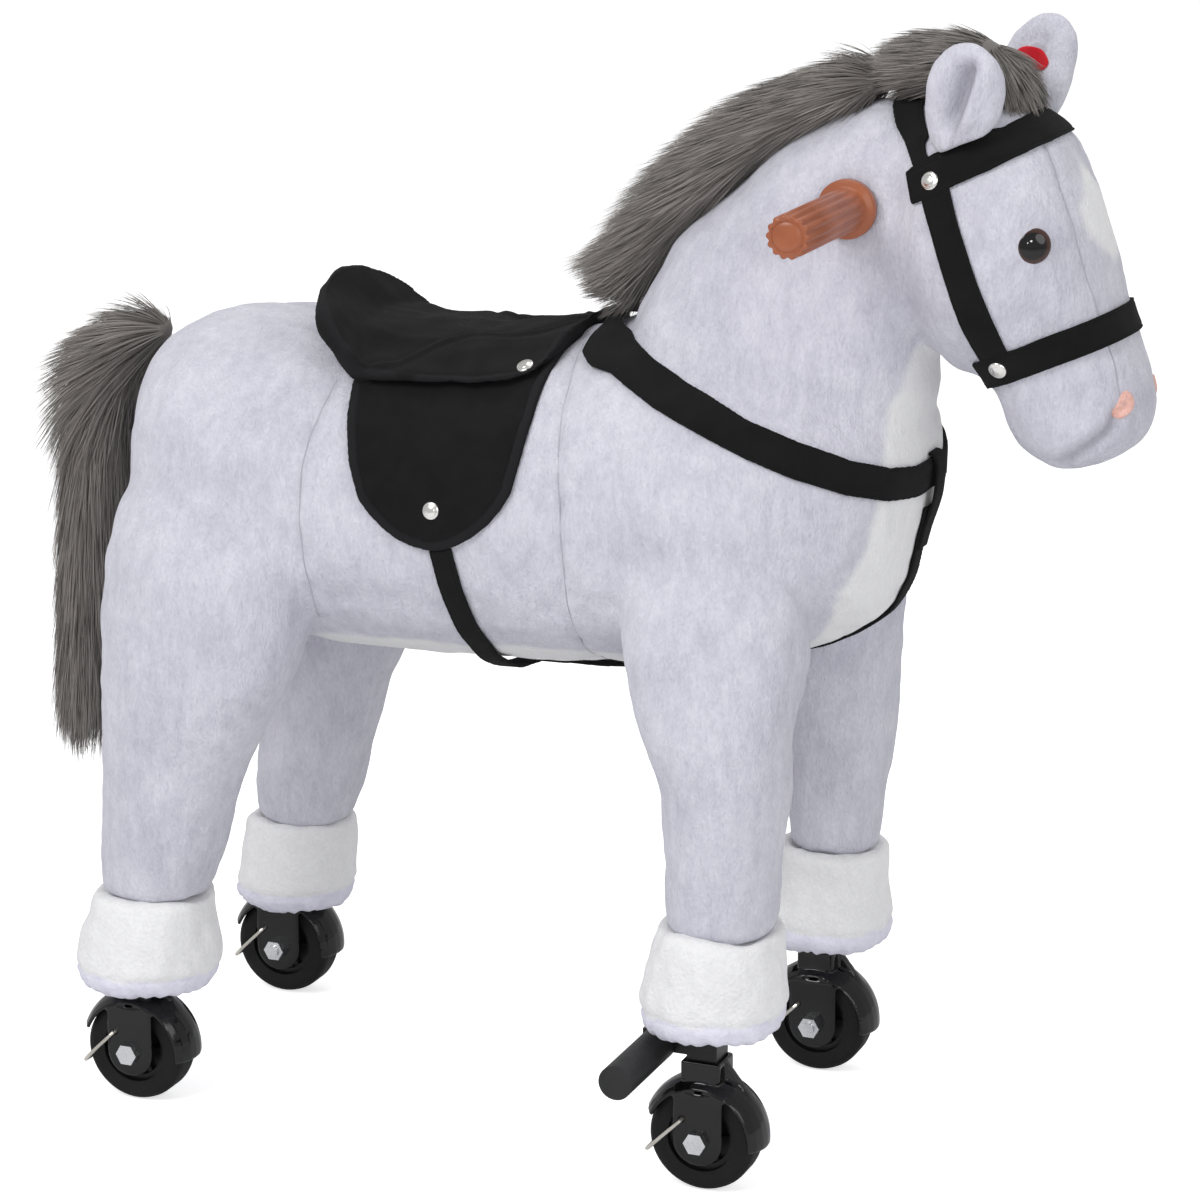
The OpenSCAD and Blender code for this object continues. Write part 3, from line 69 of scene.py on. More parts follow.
def unit(v):
    """Vectors along the last axis, made one long."""
    return v / np.maximum(np.linalg.norm(v, axis=-1, keepdims=True), 1e-12)


def dots(a, b):
    return np.einsum("ij,ij->i", a, b)


def step(value, low, high):
    """0 below low, 1 above high, and a smooth rise between them."""
    t = np.clip((value - low) / (high - low), 0, 1)
    return t * t * (3 - 2 * t)


def bell(value, width, power=2):
    """1 where the value is 0, falling off over the width."""
    return np.exp(-(value / width) ** power)


def around(sides):
    """Angles of points evenly round a circle."""
    return np.arange(sides) * 2 * math.pi / sides


def axes_of(out):
    """Two unit vectors across a direction, the first one level."""
    u = unit(np.cross(UP, out))
    return u, np.cross(out, u)


def waves(p, length, seed):
    """Smooth random waves of about the given length, from -1 to 1 or so."""
    count = 28
    rng = np.random.default_rng(seed)
    d = unit(rng.normal(size=(count, 3)))
    k = d * (2 * math.pi / length) * rng.uniform(0.7, 1.4, (count, 1))
    return np.sin(p @ k.T + rng.uniform(0, 6.283, count)).sum(1) / math.sqrt(count / 2)


# Mesh helpers

def soup(name):
    """Points and triangles of a CAD node."""
    me = NODES[name].data
    me.calc_loop_triangles()
    co = np.empty(len(me.vertices) * 3, np.float32)
    me.vertices.foreach_get("co", co)
    tri = np.empty(len(me.loop_triangles) * 3, np.int32)
    me.loop_triangles.foreach_get("vertices", tri)
    return co.reshape(-1, 3).astype(float), tri.reshape(-1, 3).astype(np.uint32)


def flank(points, sign):
    """The points on one side of the horse."""
    return points[np.sign(points[:, 1]) == sign]


def blur(a, sigma):
    r = int(math.ceil(2.5 * sigma))
    kernel = np.exp(-0.5 * (np.arange(-r, r + 1) / sigma) ** 2)
    kernel = (kernel / kernel.sum()).astype(np.float32)
    for axis in range(3):
        pad = [(0, 0)] * 3
        pad[axis] = (r, r)
        wide = np.pad(a, pad, mode="edge")
        out = np.zeros_like(a)
        for i, w in enumerate(kernel):
            cut = [slice(None)] * 3
            cut[axis] = slice(i, i + a.shape[axis])
            out += w * wide[tuple(cut)]
        a = out
    return a


def hull_soup(points):
    """The convex hull of points, as points and triangles."""
    bm = bmesh.new()
    for p in points:
        bm.verts.new(p)
    out = bmesh.ops.convex_hull(bm, input=bm.verts)
    stray = [e for e in out["geom_interior"] if isinstance(e, bmesh.types.BMVert)]
    bmesh.ops.delete(bm, geom=stray, context="VERTS")
    bmesh.ops.triangulate(bm, faces=bm.faces)
    bm.verts.index_update()
    p = np.array([v.co for v in bm.verts], float)
    t = np.array([[v.index for v in f.verts] for f in bm.faces], np.uint32)
    bm.free()
    return p, t


def bar_soup(low, high):
    """A box between two corners in mm, as points and triangles."""
    return hull_soup(np.array(list(itertools.product(*zip(low, high)))) * MM)


def edges_of(quads):
    """The first and second ends of the sides of all quads."""
    return np.concatenate([quads[:, [i, (i + 1) % 4]] for i in range(4)]).T


def islands(count, quads):
    """A label for each point, the same over each connected piece."""
    label = np.arange(count)
    a, b = edges_of(quads)
    while True:
        low = label.copy()
        np.minimum.at(low, a, label[b])
        np.minimum.at(low, b, label[a])
        low = low[low]
        low = low[low]
        if (low == label).all():
            return label
        label = low


def kept(points, quads, keep):
    """The quads whose points are all kept, with the points renumbered."""
    quads = quads[keep[quads].all(1)]
    order = np.cumsum(keep) - 1
    return points[keep], order[quads]


def biggest(points, quads):
    """The largest connected piece."""
    label = islands(len(points), quads)
    return kept(points, quads, label == np.bincount(label).argmax())


def averaged(values, quads, rounds):
    """Values at the points, averaged with their neighbours' a number of times."""
    a, b = edges_of(quads)
    a, b = np.concatenate([a, b]), np.concatenate([b, a])
    n = np.maximum(np.bincount(a, minlength=len(values)), 1)[:, None]
    flat = values.reshape(len(values), -1).astype(float)
    for _ in range(rounds):
        total = np.stack([np.bincount(a, weights=flat[b, i], minlength=len(flat))
                          for i in range(flat.shape[1])], 1)
        flat = 0.5 * flat + 0.5 * total / n
    return flat.reshape(values.shape)


def relaxed(points, quads, rounds):
    """Points smoothed without shrinking: each round draws them in and lets them out again."""
    for _ in range(rounds):
        points = averaged(points, quads, 1)
        points = points - 1.04 * (averaged(points, quads, 1) - points)
    return points


def normals_of(points, quads):
    face = np.cross(points[quads[:, 2]] - points[quads[:, 0]], points[quads[:, 3]] - points[quads[:, 1]])
    out = np.zeros_like(points)
    for i in range(4):
        for k in range(3):
            out[:, k] += np.bincount(quads[:, i], weights=face[:, k], minlength=len(points))
    return unit(out)


def raised(points, quads, rise):
    """Points moved out along their normals, by a rise in mm."""
    return points + normals_of(points, quads) * (rise * MM)[:, None]


def outward(points, quads):
    """Quads wound so that their normals point out."""
    p = points[quads]
    volume = (dots(p[:, 0], np.cross(p[:, 1], p[:, 2])) + dots(p[:, 0], np.cross(p[:, 2], p[:, 3]))).sum()
    return quads if volume > 0 else quads[:, ::-1]


def skin_of(solids, voxel, sigma, lift=0.0, reach=8):
    """Points and quads of one soft surface round a list of (points, triangles)."""
    every = np.concatenate([p for p, _ in solids])
    pad = reach + 2
    low = np.floor(every.min(0) / voxel).astype(int) - pad
    shape = tuple(np.ceil(every.max(0) / voxel).astype(int) + pad - low)
    corner = tuple(int(v) for v in low)
    far = reach * voxel
    field = np.full(shape, far, np.float32)
    for p, t in solids:
        solid = openvdb.FloatGrid.createLevelSetFromPolygons(
            p, triangles=t, transform=openvdb.createLinearTransform(voxel), halfWidth=reach)
        own = np.full(shape, far, np.float32)
        solid.copyToArray(own, ijk=corner)
        np.minimum(field, own, out=field)
    if sigma:
        field = blur(field, sigma)
    grid = openvdb.FloatGrid(far)
    grid.copyFromArray(field, ijk=corner)
    grid.transform = openvdb.createLinearTransform(voxel)
    points, quads = grid.convertToQuads(isovalue=lift)
    points, quads = np.asarray(points, float), np.asarray(quads, np.int64)
    return points, outward(points, quads)


def ring_quads(rings, sides, order=(0, 1, 2, 3)):
    """Quads between rings of points that are numbered ring by ring."""
    base = np.arange(rings - 1)[:, None] * sides
    k = np.arange(sides)[None, :]
    j = (k + 1) % sides
    quads = np.stack([base + k, base + j, base + sides + j, base + sides + k], 2)
    return quads.reshape(-1, 4)[:, list(order)]


# The corners of a ring's quads, the other way round.
TURNED_OVER = (0, 3, 2, 1)


def tube(points, radius, sides):
    """Points and quads of a round cord along a line."""
    points = np.asarray(points, float)
    t = unit(np.gradient(points, axis=0))
    ref = np.where(np.abs(t[:, 2:3]) > 0.9, [[1.0, 0, 0]], [[0, 0, 1.0]])
    a = unit(np.cross(t, ref))
    b = np.cross(t, a)
    turn = around(sides)
    ring = (points[:, None, :] + radius * (np.cos(turn)[None, :, None] * a[:, None, :]
                                           + np.sin(turn)[None, :, None] * b[:, None, :]))
    return ring.reshape(-1, 3), ring_quads(len(points), sides)


def turned(place, u, v, out, rows, sides):
    """Points and quads of a lid, from rows of (radius along u, radius along v, height) from its middle out."""
    turn = around(sides)
    points = [np.asarray(place)[None] + out * rows[0][2]]
    for a, b, h in rows[1:]:
        points.append(place + out * h + a * np.cos(turn)[:, None] * u + b * np.sin(turn)[:, None] * v)
    k = np.arange(0, sides, 2)
    fan = np.stack([0 * k, 1 + k, 1 + (k + 1) % sides, 1 + (k + 2) % sides], 1)
    return np.concatenate(points), np.concatenate([fan, 1 + ring_quads(len(rows) - 1, sides, TURNED_OVER)])


def smooth_line(points, count, rounds):
    """A line of points, smoothed and then divided evenly."""
    points = np.asarray(points, float)
    for _ in range(rounds):
        points[1:-1] = 0.5 * points[1:-1] + 0.25 * (points[:-2] + points[2:])
    along = np.concatenate([[0], np.cumsum(np.linalg.norm(np.diff(points, axis=0), axis=1))])
    at = np.linspace(0, along[-1], count)
    return np.stack([np.interp(at, along, points[:, i]) for i in range(3)], 1)


def join(parts):
    """Several (points, quads) as one."""
    points, quads, base = [], [], 0
    for p, q in parts:
        points.append(p)
        quads.append(q + base)
        base += len(p)
    return np.concatenate(points), np.concatenate(quads)


def line_distance(p, line):
    """Distance from each point to a line of points in mm, on both flanks."""
    best = np.full(len(p), 9.0)
    for _, sign in SIDES:
        way = np.array(line) * MM * [1, sign, 1]
        for a, b in zip(way[:-1], way[1:]):
            d = b - a
            t = np.clip((p - a) @ d / (d @ d), 0, 1)
            best = np.minimum(best, np.linalg.norm(p - a - t[:, None] * d, axis=1))
    return best


def distance_to(points, marks):
    """How far each point is from the nearest of the marks."""
    tree = KDTree(len(marks))
    for i, v in enumerate(marks):
        tree.insert(v, i)
    tree.balance()
    return np.array([tree.find(v)[2] for v in points])


def tree_of(points, faces):
    return BVHTree.FromPolygons([Vector(p) for p in points], [tuple(int(i) for i in f) for f in faces])


def mesh_object(name, points, faces):
    me = bpy.data.meshes.new(name)
    faces = np.asarray(faces)
    count, sides = faces.shape
    me.vertices.add(len(points))
    me.vertices.foreach_set("co", np.asarray(points, np.float32).ravel())
    me.loops.add(count * sides)
    me.loops.foreach_set("vertex_index", faces.astype(np.int32).ravel())
    me.polygons.add(count)
    me.polygons.foreach_set("loop_start", np.arange(0, count * sides, sides, dtype=np.int32))
    me.polygons.foreach_set("use_smooth", np.full(count, True))
    me.update(calc_edges=True)
    ob = bpy.data.objects.new(name, me)
    SCENE.collection.objects.link(ob)
    return ob


def piece(name, points, quads, mat, slot, body, *nodes, **marks):
    """A visible piece that stands for CAD nodes; marks are values at its points for the material to read."""
    ob = mesh_object(name, points, quads)
    for mark, values in marks.items():
        layer = ob.data.attributes.new(mark, "FLOAT", "POINT")
        layer.data.foreach_set("value", np.asarray(values, np.float32))
    ob.data.materials.append(mat)
    if nodes:
        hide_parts(*nodes)
    if body == BOTH_HALVES:
        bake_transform(ob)
    else:
        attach(ob, body)
    return ob


# Materials

class Paint:
    """A node material with short calls for its nodes."""

    def __init__(self, name, **sockets):
        self.mat = bpy.data.materials.new(name)
        self.mat.use_nodes = True
        self.tree = self.mat.node_tree
        self.bsdf = self.tree.nodes["Principled BSDF"]
        self.coords = self.node("ShaderNodeTexCoord").outputs["Object"]
        for key, value in sockets.items():
            self.bsdf.inputs[key.replace("_", " ")].default_value = value

    def node(self, kind, inputs=None, **settings):
        n = self.tree.nodes.new(kind)
        for key, value in settings.items():
            setattr(n, key, value)
        for key, value in (inputs or {}).items():
            self.put(n.inputs[key], value)
        return n

    def put(self, socket, value):
        if isinstance(value, bpy.types.NodeSocket):
            self.tree.links.new(value, socket)
        else:
            socket.default_value = value

    def noise(self, scale, detail=3.0, roughness=0.55, stretch=None):
        vector = self.coords
        if stretch:
            vector = self.node("ShaderNodeMapping", {"Vector": vector, "Scale": stretch}).outputs[0]
        return self.node("ShaderNodeTexNoise", {
            "Vector": vector, "Scale": scale, "Detail": detail, "Roughness": roughness}).outputs["Fac"]

    def value(self, name):
        return self.node("ShaderNodeAttribute", attribute_name=name).outputs["Fac"]

    def math(self, operation, a, b, clamp=False):
        return self.node("ShaderNodeMath", {0: a, 1: b}, operation=operation, use_clamp=clamp).outputs[0]

    def weighted(self, *terms):
        """The sum of sockets, each times its weight."""
        total, *rest = [self.math("MULTIPLY", socket, weight) for socket, weight in terms]
        for term in rest:
            total = self.math("ADD", total, term)
        return total

    def ramp(self, factor, stops):
        n = self.node("ShaderNodeValToRGB", {"Fac": factor})
        n.color_ramp.elements[0].position = stops[0][0]
        n.color_ramp.elements[1].position = stops[-1][0]
        for at, _ in stops[1:-1]:
            n.color_ramp.elements.new(at)
        for element, (_, colour) in zip(n.color_ramp.elements, stops):
            element.color = (*colour, 1.0)
        return n.outputs["Color"]

    def mix(self, factor, a, b):
        a, b = (v if isinstance(v, bpy.types.NodeSocket) else (*v, 1.0) for v in (a, b))
        return self.node("ShaderNodeMix", {"Factor": factor, "A": a, "B": b},
                         data_type="RGBA").outputs["Result"]

    def colour(self, socket):
        self.put(self.bsdf.inputs["Base Color"], socket)

    def rough(self, socket, low, high):
        span = self.node("ShaderNodeMapRange", {"Value": socket, "To Min": low, "To Max": high})
        self.put(self.bsdf.inputs["Roughness"], span.outputs[0])

    def bump(self, height, distance, strength):
        n = self.node("ShaderNodeBump", {"Height": height, "Distance": distance, "Strength": strength})
        self.put(self.bsdf.inputs["Normal"], n.outputs["Normal"])


def plush_paint(name, low, high, pale_low, pale_high):
    """Short pile: cloudy brushed tone, fine tufts and a soft sheen, with white patches and painted shade in the
    seam grooves, the mouth crease and the ears' cups.
    """
    p = Paint(name, Sheen_Weight=0.25, Sheen_Roughness=0.5, Specular_IOR_Level=0.08)
    cloud = p.noise(14.0, 4.0, 0.6)
    brushed = p.noise(130.0, 5.0, 0.7, (1.0, 1.0, 0.35))
    tufts = p.noise(620.0, 3.0, 0.7, (1.0, 1.0, 0.45))
    parting = p.math("SUBTRACT", p.noise(60.0, 6.0, 0.75, (1.0, 1.0, 0.5)), 0.60, True)
    parting = p.math("MULTIPLY", parting, 3.0, True)
    tone = p.weighted((cloud, 0.35), (brushed, 0.35), (tufts, 0.30))
    colour = p.ramp(tone, [(0.36, low), (0.64, high)])
    colour = p.mix(p.value("white"), colour, p.ramp(tone, [(0.3, pale_low), (0.65, pale_high)]))
    # Painted shade: the mark read here darkens the pile in the seam grooves, the mouth crease and the ears' cups
    # and creases.
    colour = p.mix(p.math("MULTIPLY", p.value("seam"), 0.55), colour, tuple(0.32 * c for c in high))
    colour = p.mix(p.math("MULTIPLY", parting, 0.45), colour, tuple(0.55 * c for c in high))
    p.colour(colour)
    p.rough(tufts, 0.75, 1.0)
    p.bump(p.weighted((brushed, 0.55), (tufts, 0.45)), 0.0042, 0.75)
    return p.mat


def cuff_paint(name, low, high):
    """White pile over a smoother lilac sole."""
    p = Paint(name, Sheen_Weight=0.2, Sheen_Roughness=0.5, Specular_IOR_Level=0.1)
    tone = p.weighted((p.noise(85.0, 4.0, 0.7), 0.5), (p.noise(420.0, 3.0), 0.5))
    pile = p.ramp(tone, [(0.3, low), (0.65, high)])
    sole = p.ramp(p.noise(120.0, 3.0), [(0.3, (0.66, 0.65, 0.76)), (0.7, (0.76, 0.75, 0.85))])
    p.colour(p.mix(p.value("sole"), pile, sole))
    p.rough(tone, 0.75, 1.0)
    p.bump(tone, 0.0035, 0.6)
    return p.mat


def felt_paint(name, low, high):
    p = Paint(name, Sheen_Weight=0.2, Specular_IOR_Level=0.1)
    p.colour(p.ramp(p.noise(500.0, 3.0), [(0.3, low), (0.7, high)]))
    p.rough(p.noise(500.0), 0.8, 1.0)
    p.bump(p.noise(700.0, 4.0), 0.0008, 0.7)
    return p.mat


def cloth_paint(name, base, thread, scale=900.0, bound=None):
    """Woven cloth: two crossed sets of threads, lint and a matt finish, with a bound edge if it has one."""
    p = Paint(name, Sheen_Weight=0.03, Sheen_Roughness=0.6, Specular_IOR_Level=0.06)
    threads = {"Vector": p.coords, "Scale": scale, "Distortion": 1.5, "Detail": 2.0}
    warp, weft = (p.node("ShaderNodeTexWave", threads, bands_direction=way).outputs["Fac"] for way in "XZ")
    weave = p.math("MAXIMUM", warp, weft)
    cloud = p.noise(60.0, 4.0)
    lint = p.math("GREATER_THAN", p.noise(420.0, 2.0), 0.79)
    colour = p.ramp(p.weighted((weave, 0.3), (cloud, 0.7)), [(0.25, base), (0.75, thread)])
    if bound:
        colour = p.mix(p.value("bind"), colour, bound)
    p.colour(p.mix(p.math("MULTIPLY", lint, 0.16), colour, (0.5, 0.5, 0.51)))
    p.rough(cloud, 0.8, 1.0)
    p.bump(weave, 0.0004, 0.5)
    return p.mat


def hard_paint(name, low, high, rough, grain=240.0, bump=0.0002, **sockets):
    """Plastic, rubber or metal: slightly uneven tone and gloss."""
    p = Paint(name, **sockets)
    fine = p.noise(grain, 3.0)
    p.colour(p.ramp(p.noise(40.0, 4.0), [(0.3, low), (0.7, high)]))
    p.rough(fine, *rough)
    p.bump(fine, bump, 0.4)
    return p.mat


def hair_paint(name, dark, mid, tip):
    """Long pile: a tone for each lock, paler towards its tip."""
    p = Paint(name, Roughness=0.55, Specular_IOR_Level=0.2, Sheen_Weight=0.1)
    tone = p.weighted((p.value("tone"), 0.75), (p.noise(30.0, 3.0), 0.25))
    p.colour(p.ramp(tone, [(0.1, dark), (0.5, mid), (0.95, tip)]))
    p.rough(p.noise(300.0), 0.45, 0.7)
    p.bump(p.noise(500.0, 2.0), 0.0006, 0.4)
    return p.mat


def glass_paint(name):
    """A black pupil in a brown iris, by the distance from the middle of the eye."""
    p = Paint(name, Roughness=0.06, Specular_IOR_Level=0.5)
    flecks = p.math("MULTIPLY", p.math("SUBTRACT", p.noise(900.0), 0.5), 0.10)
    p.colour(p.ramp(p.math("ADD", p.value("ring"), flecks), [
        (0.0, (0.002, 0.002, 0.002)), (0.66, (0.003, 0.002, 0.002)), (0.74, (0.042, 0.017, 0.012)),
        (0.92, (0.060, 0.026, 0.019)), (1.0, (0.024, 0.011, 0.008))]))
    return p.mat


GREY_LOW, GREY_HIGH = (0.46, 0.457, 0.535), (0.70, 0.695, 0.77)
WHITE_LOW, WHITE_HIGH = (0.73, 0.73, 0.745), (0.83, 0.83, 0.84)
PLUSH = plush_paint("plush_grey", GREY_LOW, GREY_HIGH, WHITE_LOW, WHITE_HIGH)
CUFF = cuff_paint("plush_cuff", WHITE_LOW, WHITE_HIGH)
HAIR = hair_paint("hair_grey", (0.066, 0.060, 0.055), (0.205, 0.188, 0.175), (0.40, 0.372, 0.350))
FELT = felt_paint("felt_pink", (0.66, 0.36, 0.30), (0.80, 0.50, 0.44))
GLASS = glass_paint("eye_glass")
SADDLE = cloth_paint("saddle_cloth", (0.0050, 0.0050, 0.0054), (0.0118, 0.0118, 0.0125),
                     bound=(0.0150, 0.0150, 0.0165))
STRAP = cloth_paint("strap_cloth", (0.0055, 0.0055, 0.0058), (0.0115, 0.0115, 0.012), 1100.0)
BUTTON = cloth_paint("button_red", (0.50, 0.012, 0.020), (0.68, 0.030, 0.045), 1300.0)
THREAD = hard_paint("seam_thread", (0.36, 0.355, 0.41), (0.44, 0.435, 0.49), (0.7, 0.9), 700.0,
                    Specular_IOR_Level=0.1)
GUARD = hard_paint("guard_gloss", (0.0025, 0.0025, 0.0026), (0.004, 0.004, 0.004), (0.07, 0.16),
                   400.0, 0.00005, Specular_IOR_Level=0.45)
STEEL = hard_paint("steel_black", (0.0035, 0.0035, 0.0036), (0.006, 0.006, 0.006), (0.25, 0.4),
                   Specular_IOR_Level=0.35)
RIM = hard_paint("rim_plastic", (0.006, 0.006, 0.006), (0.010, 0.010, 0.010), (0.25, 0.45),
                 Specular_IOR_Level=0.3)
TYRE = hard_paint("tyre_rubber", (0.0065, 0.0065, 0.0066), (0.011, 0.011, 0.011), (0.5, 0.7),
                  700.0, 0.0003, Specular_IOR_Level=0.2)
PEG = hard_paint("peg_plastic", (0.016, 0.016, 0.0165), (0.024, 0.024, 0.025), (0.4, 0.6),
                 Specular_IOR_Level=0.3)
ZINC = hard_paint("zinc", (0.62, 0.63, 0.65), (0.80, 0.81, 0.82), (0.18, 0.38), 500.0, Metallic=1.0)
WIRE = hard_paint("wire", (0.62, 0.59, 0.53), (0.80, 0.77, 0.71), (0.2, 0.4), 500.0, Metallic=1.0)
NICKEL = hard_paint("nickel", (0.70, 0.69, 0.66), (0.86, 0.85, 0.82), (0.12, 0.3), 700.0, Metallic=1.0)
GRIP = hard_paint("grip_brown", (0.275, 0.080, 0.034), (0.360, 0.112, 0.050), (0.24, 0.38), 300.0,
                  Specular_IOR_Level=0.4)
BOARD = hard_paint("board_ply", (0.42, 0.28, 0.16), (0.58, 0.42, 0.26), (0.6, 0.8), 60.0)
SOUND = hard_paint("sound_plastic", (0.03, 0.03, 0.03), (0.05, 0.05, 0.05), (0.4, 0.6))


# Stage: camera, floor, light

CAMERA_AT = (0.95268, -2.29139, 1.00463)
CAMERA_BACK = (0.36390729, -0.89485117, 0.25848186)
CAMERA_LENS, CAMERA_SENSOR = 119.07, 36.0
SKY_LIGHT, SKY_SEEN, FLOOR_GLOW = 0.55, 1.0, 0.62
FLOOR_HALF, FLOOR_DROP = 6.0, 0.0006
BODY_AIM, EYE_AIM = (0.0, 0.0, 0.4), (0.32, -0.06, 0.6)
# Each lamp's name, place, aim, size in metres and power in watts. The two sparks are the eye's highlights.
LAMPS = [
    ("key", (-0.9, -2.2, 2.4), BODY_AIM, 1.6, 44.0),
    ("fill", (2.4, -1.4, 1.6), (0.1, 0.0, 0.4), 1.8, 16.0),
    ("top", (0.1, 0.6, 2.6), BODY_AIM, 1.6, 14.0),
    ("spark", (1.221, -2.119, 1.091), EYE_AIM, 0.24, 3.4),
    ("spark_side", (0.840, -2.281, 0.904), EYE_AIM, 0.15, 1.4),
]


def camera():
    back = Vector(CAMERA_BACK).normalized()
    right = Vector((0, 0, 1)).cross(back).normalized()
    cam = bpy.data.cameras.new("camera")
    cam.lens, cam.sensor_width, cam.sensor_fit = CAMERA_LENS, CAMERA_SENSOR, "HORIZONTAL"
    ob = bpy.data.objects.new("camera", cam)
    turn = Matrix((right, back.cross(right), back)).transposed().to_4x4()
    ob.matrix_world = Matrix.Translation(CAMERA_AT) @ turn
    SCENE.collection.objects.link(ob)
    SCENE.camera = ob


def lamp(name, place, aim, size, power):
    data = bpy.data.lights.new(name, "AREA")
    data.shape, data.size, data.energy = "DISK", size, power
    ob = bpy.data.objects.new(name, data)
    ob.location = place
    ob.rotation_euler = (Vector(aim) - Vector(place)).to_track_quat("-Z", "Y").to_euler()
    SCENE.collection.objects.link(ob)


def seen(tree):
    """1 for rays that come straight from the camera, which see a white backdrop."""
    return tree.nodes.new("ShaderNodeLightPath").outputs["Is Camera Ray"]


def sky():
    world = bpy.data.worlds.new("studio")
    SCENE.world = world
    world.use_nodes = True
    tree = world.node_tree
    backdrop = tree.nodes["Background"]
    backdrop.inputs["Color"].default_value = (1, 1, 1, 1)
    span = tree.nodes.new("ShaderNodeMapRange")
    tree.links.new(seen(tree), span.inputs["Value"])
    span.inputs["To Min"].default_value = SKY_LIGHT
    span.inputs["To Max"].default_value = SKY_SEEN
    tree.links.new(span.outputs[0], backdrop.inputs["Strength"])


def floor():
    corners = np.array([[-1, -1, 0], [1, -1, 0], [1, 1, 0], [-1, 1, 0]])
    ob = mesh_object("floor", corners * FLOOR_HALF - [0, 0, FLOOR_DROP], [[0, 1, 2, 3]])
    p = Paint("floor_paper", Roughness=0.9, Specular_IOR_Level=0.0)
    p.colour(p.ramp(p.noise(3.0), [(0.3, (0.80, 0.80, 0.81)), (0.7, (0.82, 0.82, 0.83))]))
    glow = p.node("ShaderNodeEmission", {"Strength": p.math("MULTIPLY", seen(p.tree), FLOOR_GLOW)})
    both = p.node("ShaderNodeAddShader", {0: p.bsdf.outputs[0], 1: glow.outputs[0]})
    p.put(p.tree.nodes["Material Output"].inputs["Surface"], both.outputs[0])
    ob.data.materials.append(p.mat)


camera()
sky()
floor()
for row in LAMPS:
    lamp(*row)
SCENE.view_settings.view_transform = "Standard"


# Plush body: one skin over the torso, shoulders, neck, head and legs

BODY = ["torso", "shoulders", "neck", "head",
        "leg_front_right", "leg_front_left", "leg_rear_right", "leg_rear_left"]
BODY_VOXEL, BODY_BLUR = 0.0028, 1.9
# Half the length of the torso and shoulders that is bridged under the plush at the fold.
FOLD_BRIDGE = 0.034

# Sewn lines in mm, on the right flank; the left one mirrors them.
SEAMS = [
    [(24.9, -36.6, 517.9), (32.6, -78.1, 500.4), (34.5, -98.7, 478.3), (39.2, -112.3, 440.2),
     (42.6, -112.3, 395.7), (42.1, -80.5, 337.0), (42, -40, 312)],
    [(-126.7, -78.0, 490.4), (-129.0, -95.6, 475.0), (-133.3, -104.5, 459.8), (-136.3, -114.0, 428.7),
     (-135.3, -113.5, 387.8), (-135.2, -91.4, 340.4)],
    [(314.8, -28.4, 658.5), (330.0, -37.1, 632.1), (340.3, -38.6, 608.0), (349.5, -35.8, 581.3),
     (356.5, -32.3, 563.2), (362.2, -30.8, 544.6), (366.6, -31.2, 526.9), (368.0, -32.4, 512.0)],
]
THREAD_RADIUS, THREAD_SUNK = 0.5 * MM, 0.05 * MM
MOUTH = [(367.5, -33.5, 501), (366.9, -35.6, 498.6), (363.8, -36.9, 491.3), (357.4, -39.5, 484.6),
         (344.8, -39.6, 474.4), (334, -36, 468)]
# White patches in mm: half the width of the bib and the blaze by height, of the belly along the body.
BIB_Z = [296, 330, 360, 385, 398, 413, 436, 465, 482, 497, 516, 535, 545]
BIB_W = [40, 48, 60.6, 74.3, 72.2, 67.9, 65.6, 57.9, 47, 44.8, 34.4, 26.6, 14]
BLAZE_Z = [586, 595, 606, 621, 636, 645]
BLAZE_W = [0, 13, 26, 29.3, 12.4, 0]
BELLY_X = [-146, 60, 90, 206]
BELLY_W = [77, 77, 50, 42]
# How far the chest's front is padded out, in mm by height.
CHEST_Z = [300, 333, 350, 370, 390, 417, 442, 470, 500]
CHEST_X = [2, 6, 6, 1, -3, -5.5, -5.5, -3, 0]

# Filling in mm round the rear posts in each leg, and round the tie between them.
FILL_AHEAD, FILL_BEHIND, FILL_BESIDE, FILL_ABOVE, FILL_OVER_SOLE = 21.2, 4.6, 4.0, 16.0, 6.0
TIE_START, TIE_BESIDE, TIE_ABOVE, TIE_DEPTH = 18.8, 1.2, 4.0, 26.4


def rear_cores():
    """The steel inside the rear legs as solid bars, so that the thin stuffing round it keeps its skin."""
    posts = soup("rear_posts")[0] / MM
    low, high = posts.min(0), posts.max(0)
    ahead, tie_top = high[0] + FILL_AHEAD, high[2] + TIE_ABOVE
    cores = [bar_soup((low[0] + TIE_START, low[1] - TIE_BESIDE, tie_top - TIE_DEPTH),
                      (ahead, high[1] + TIE_BESIDE, tie_top))]
    for leg in ("leg_rear_right", "leg_rear_left"):
        plush = soup(leg)[0] / MM
        y = flank(posts, np.sign(plush[:, 1].mean()))[:, 1]
        cores.append(bar_soup(
            (low[0] - FILL_BEHIND, y.min() - FILL_BESIDE, plush[:, 2].min() + FILL_OVER_SOLE),
            (ahead, y.max() + FILL_BESIDE, high[2] + FILL_ABOVE)))
    return cores


def white_patches(p, n):
    """1 on the bib, belly and blaze, whose edges waver a little."""
    x, y, z = (p / MM).T
    edge = 0.5 * waves(p, 0.012, 8)
    side = np.abs(y) + edge
    bib = (step(np.interp(z, BIB_Z, BIB_W, 0, 0) - side, -1.5, 1.5) * step(x, 118, 128)
           * step(n[:, 0], 0.0, 0.15) * step(264 - x, 0, 5))
    belly = (step(np.interp(x, BELLY_X, BELLY_W) - side, -2, 2) * step(332 + edge - z, 0, 3)
             * step(z, 290, 296) * step(x, -152, -146) * step(206 - x, 0, 8) * step(-n[:, 2], 0.25, 0.5))
    blaze = (step(np.interp(z, BLAZE_Z, BLAZE_W, 0, 0) - side, -1.5, 1.5)
             * step(n[:, 0], 0.2, 0.4) * (x > 318))
    return np.maximum(np.maximum(bib, belly), blaze)


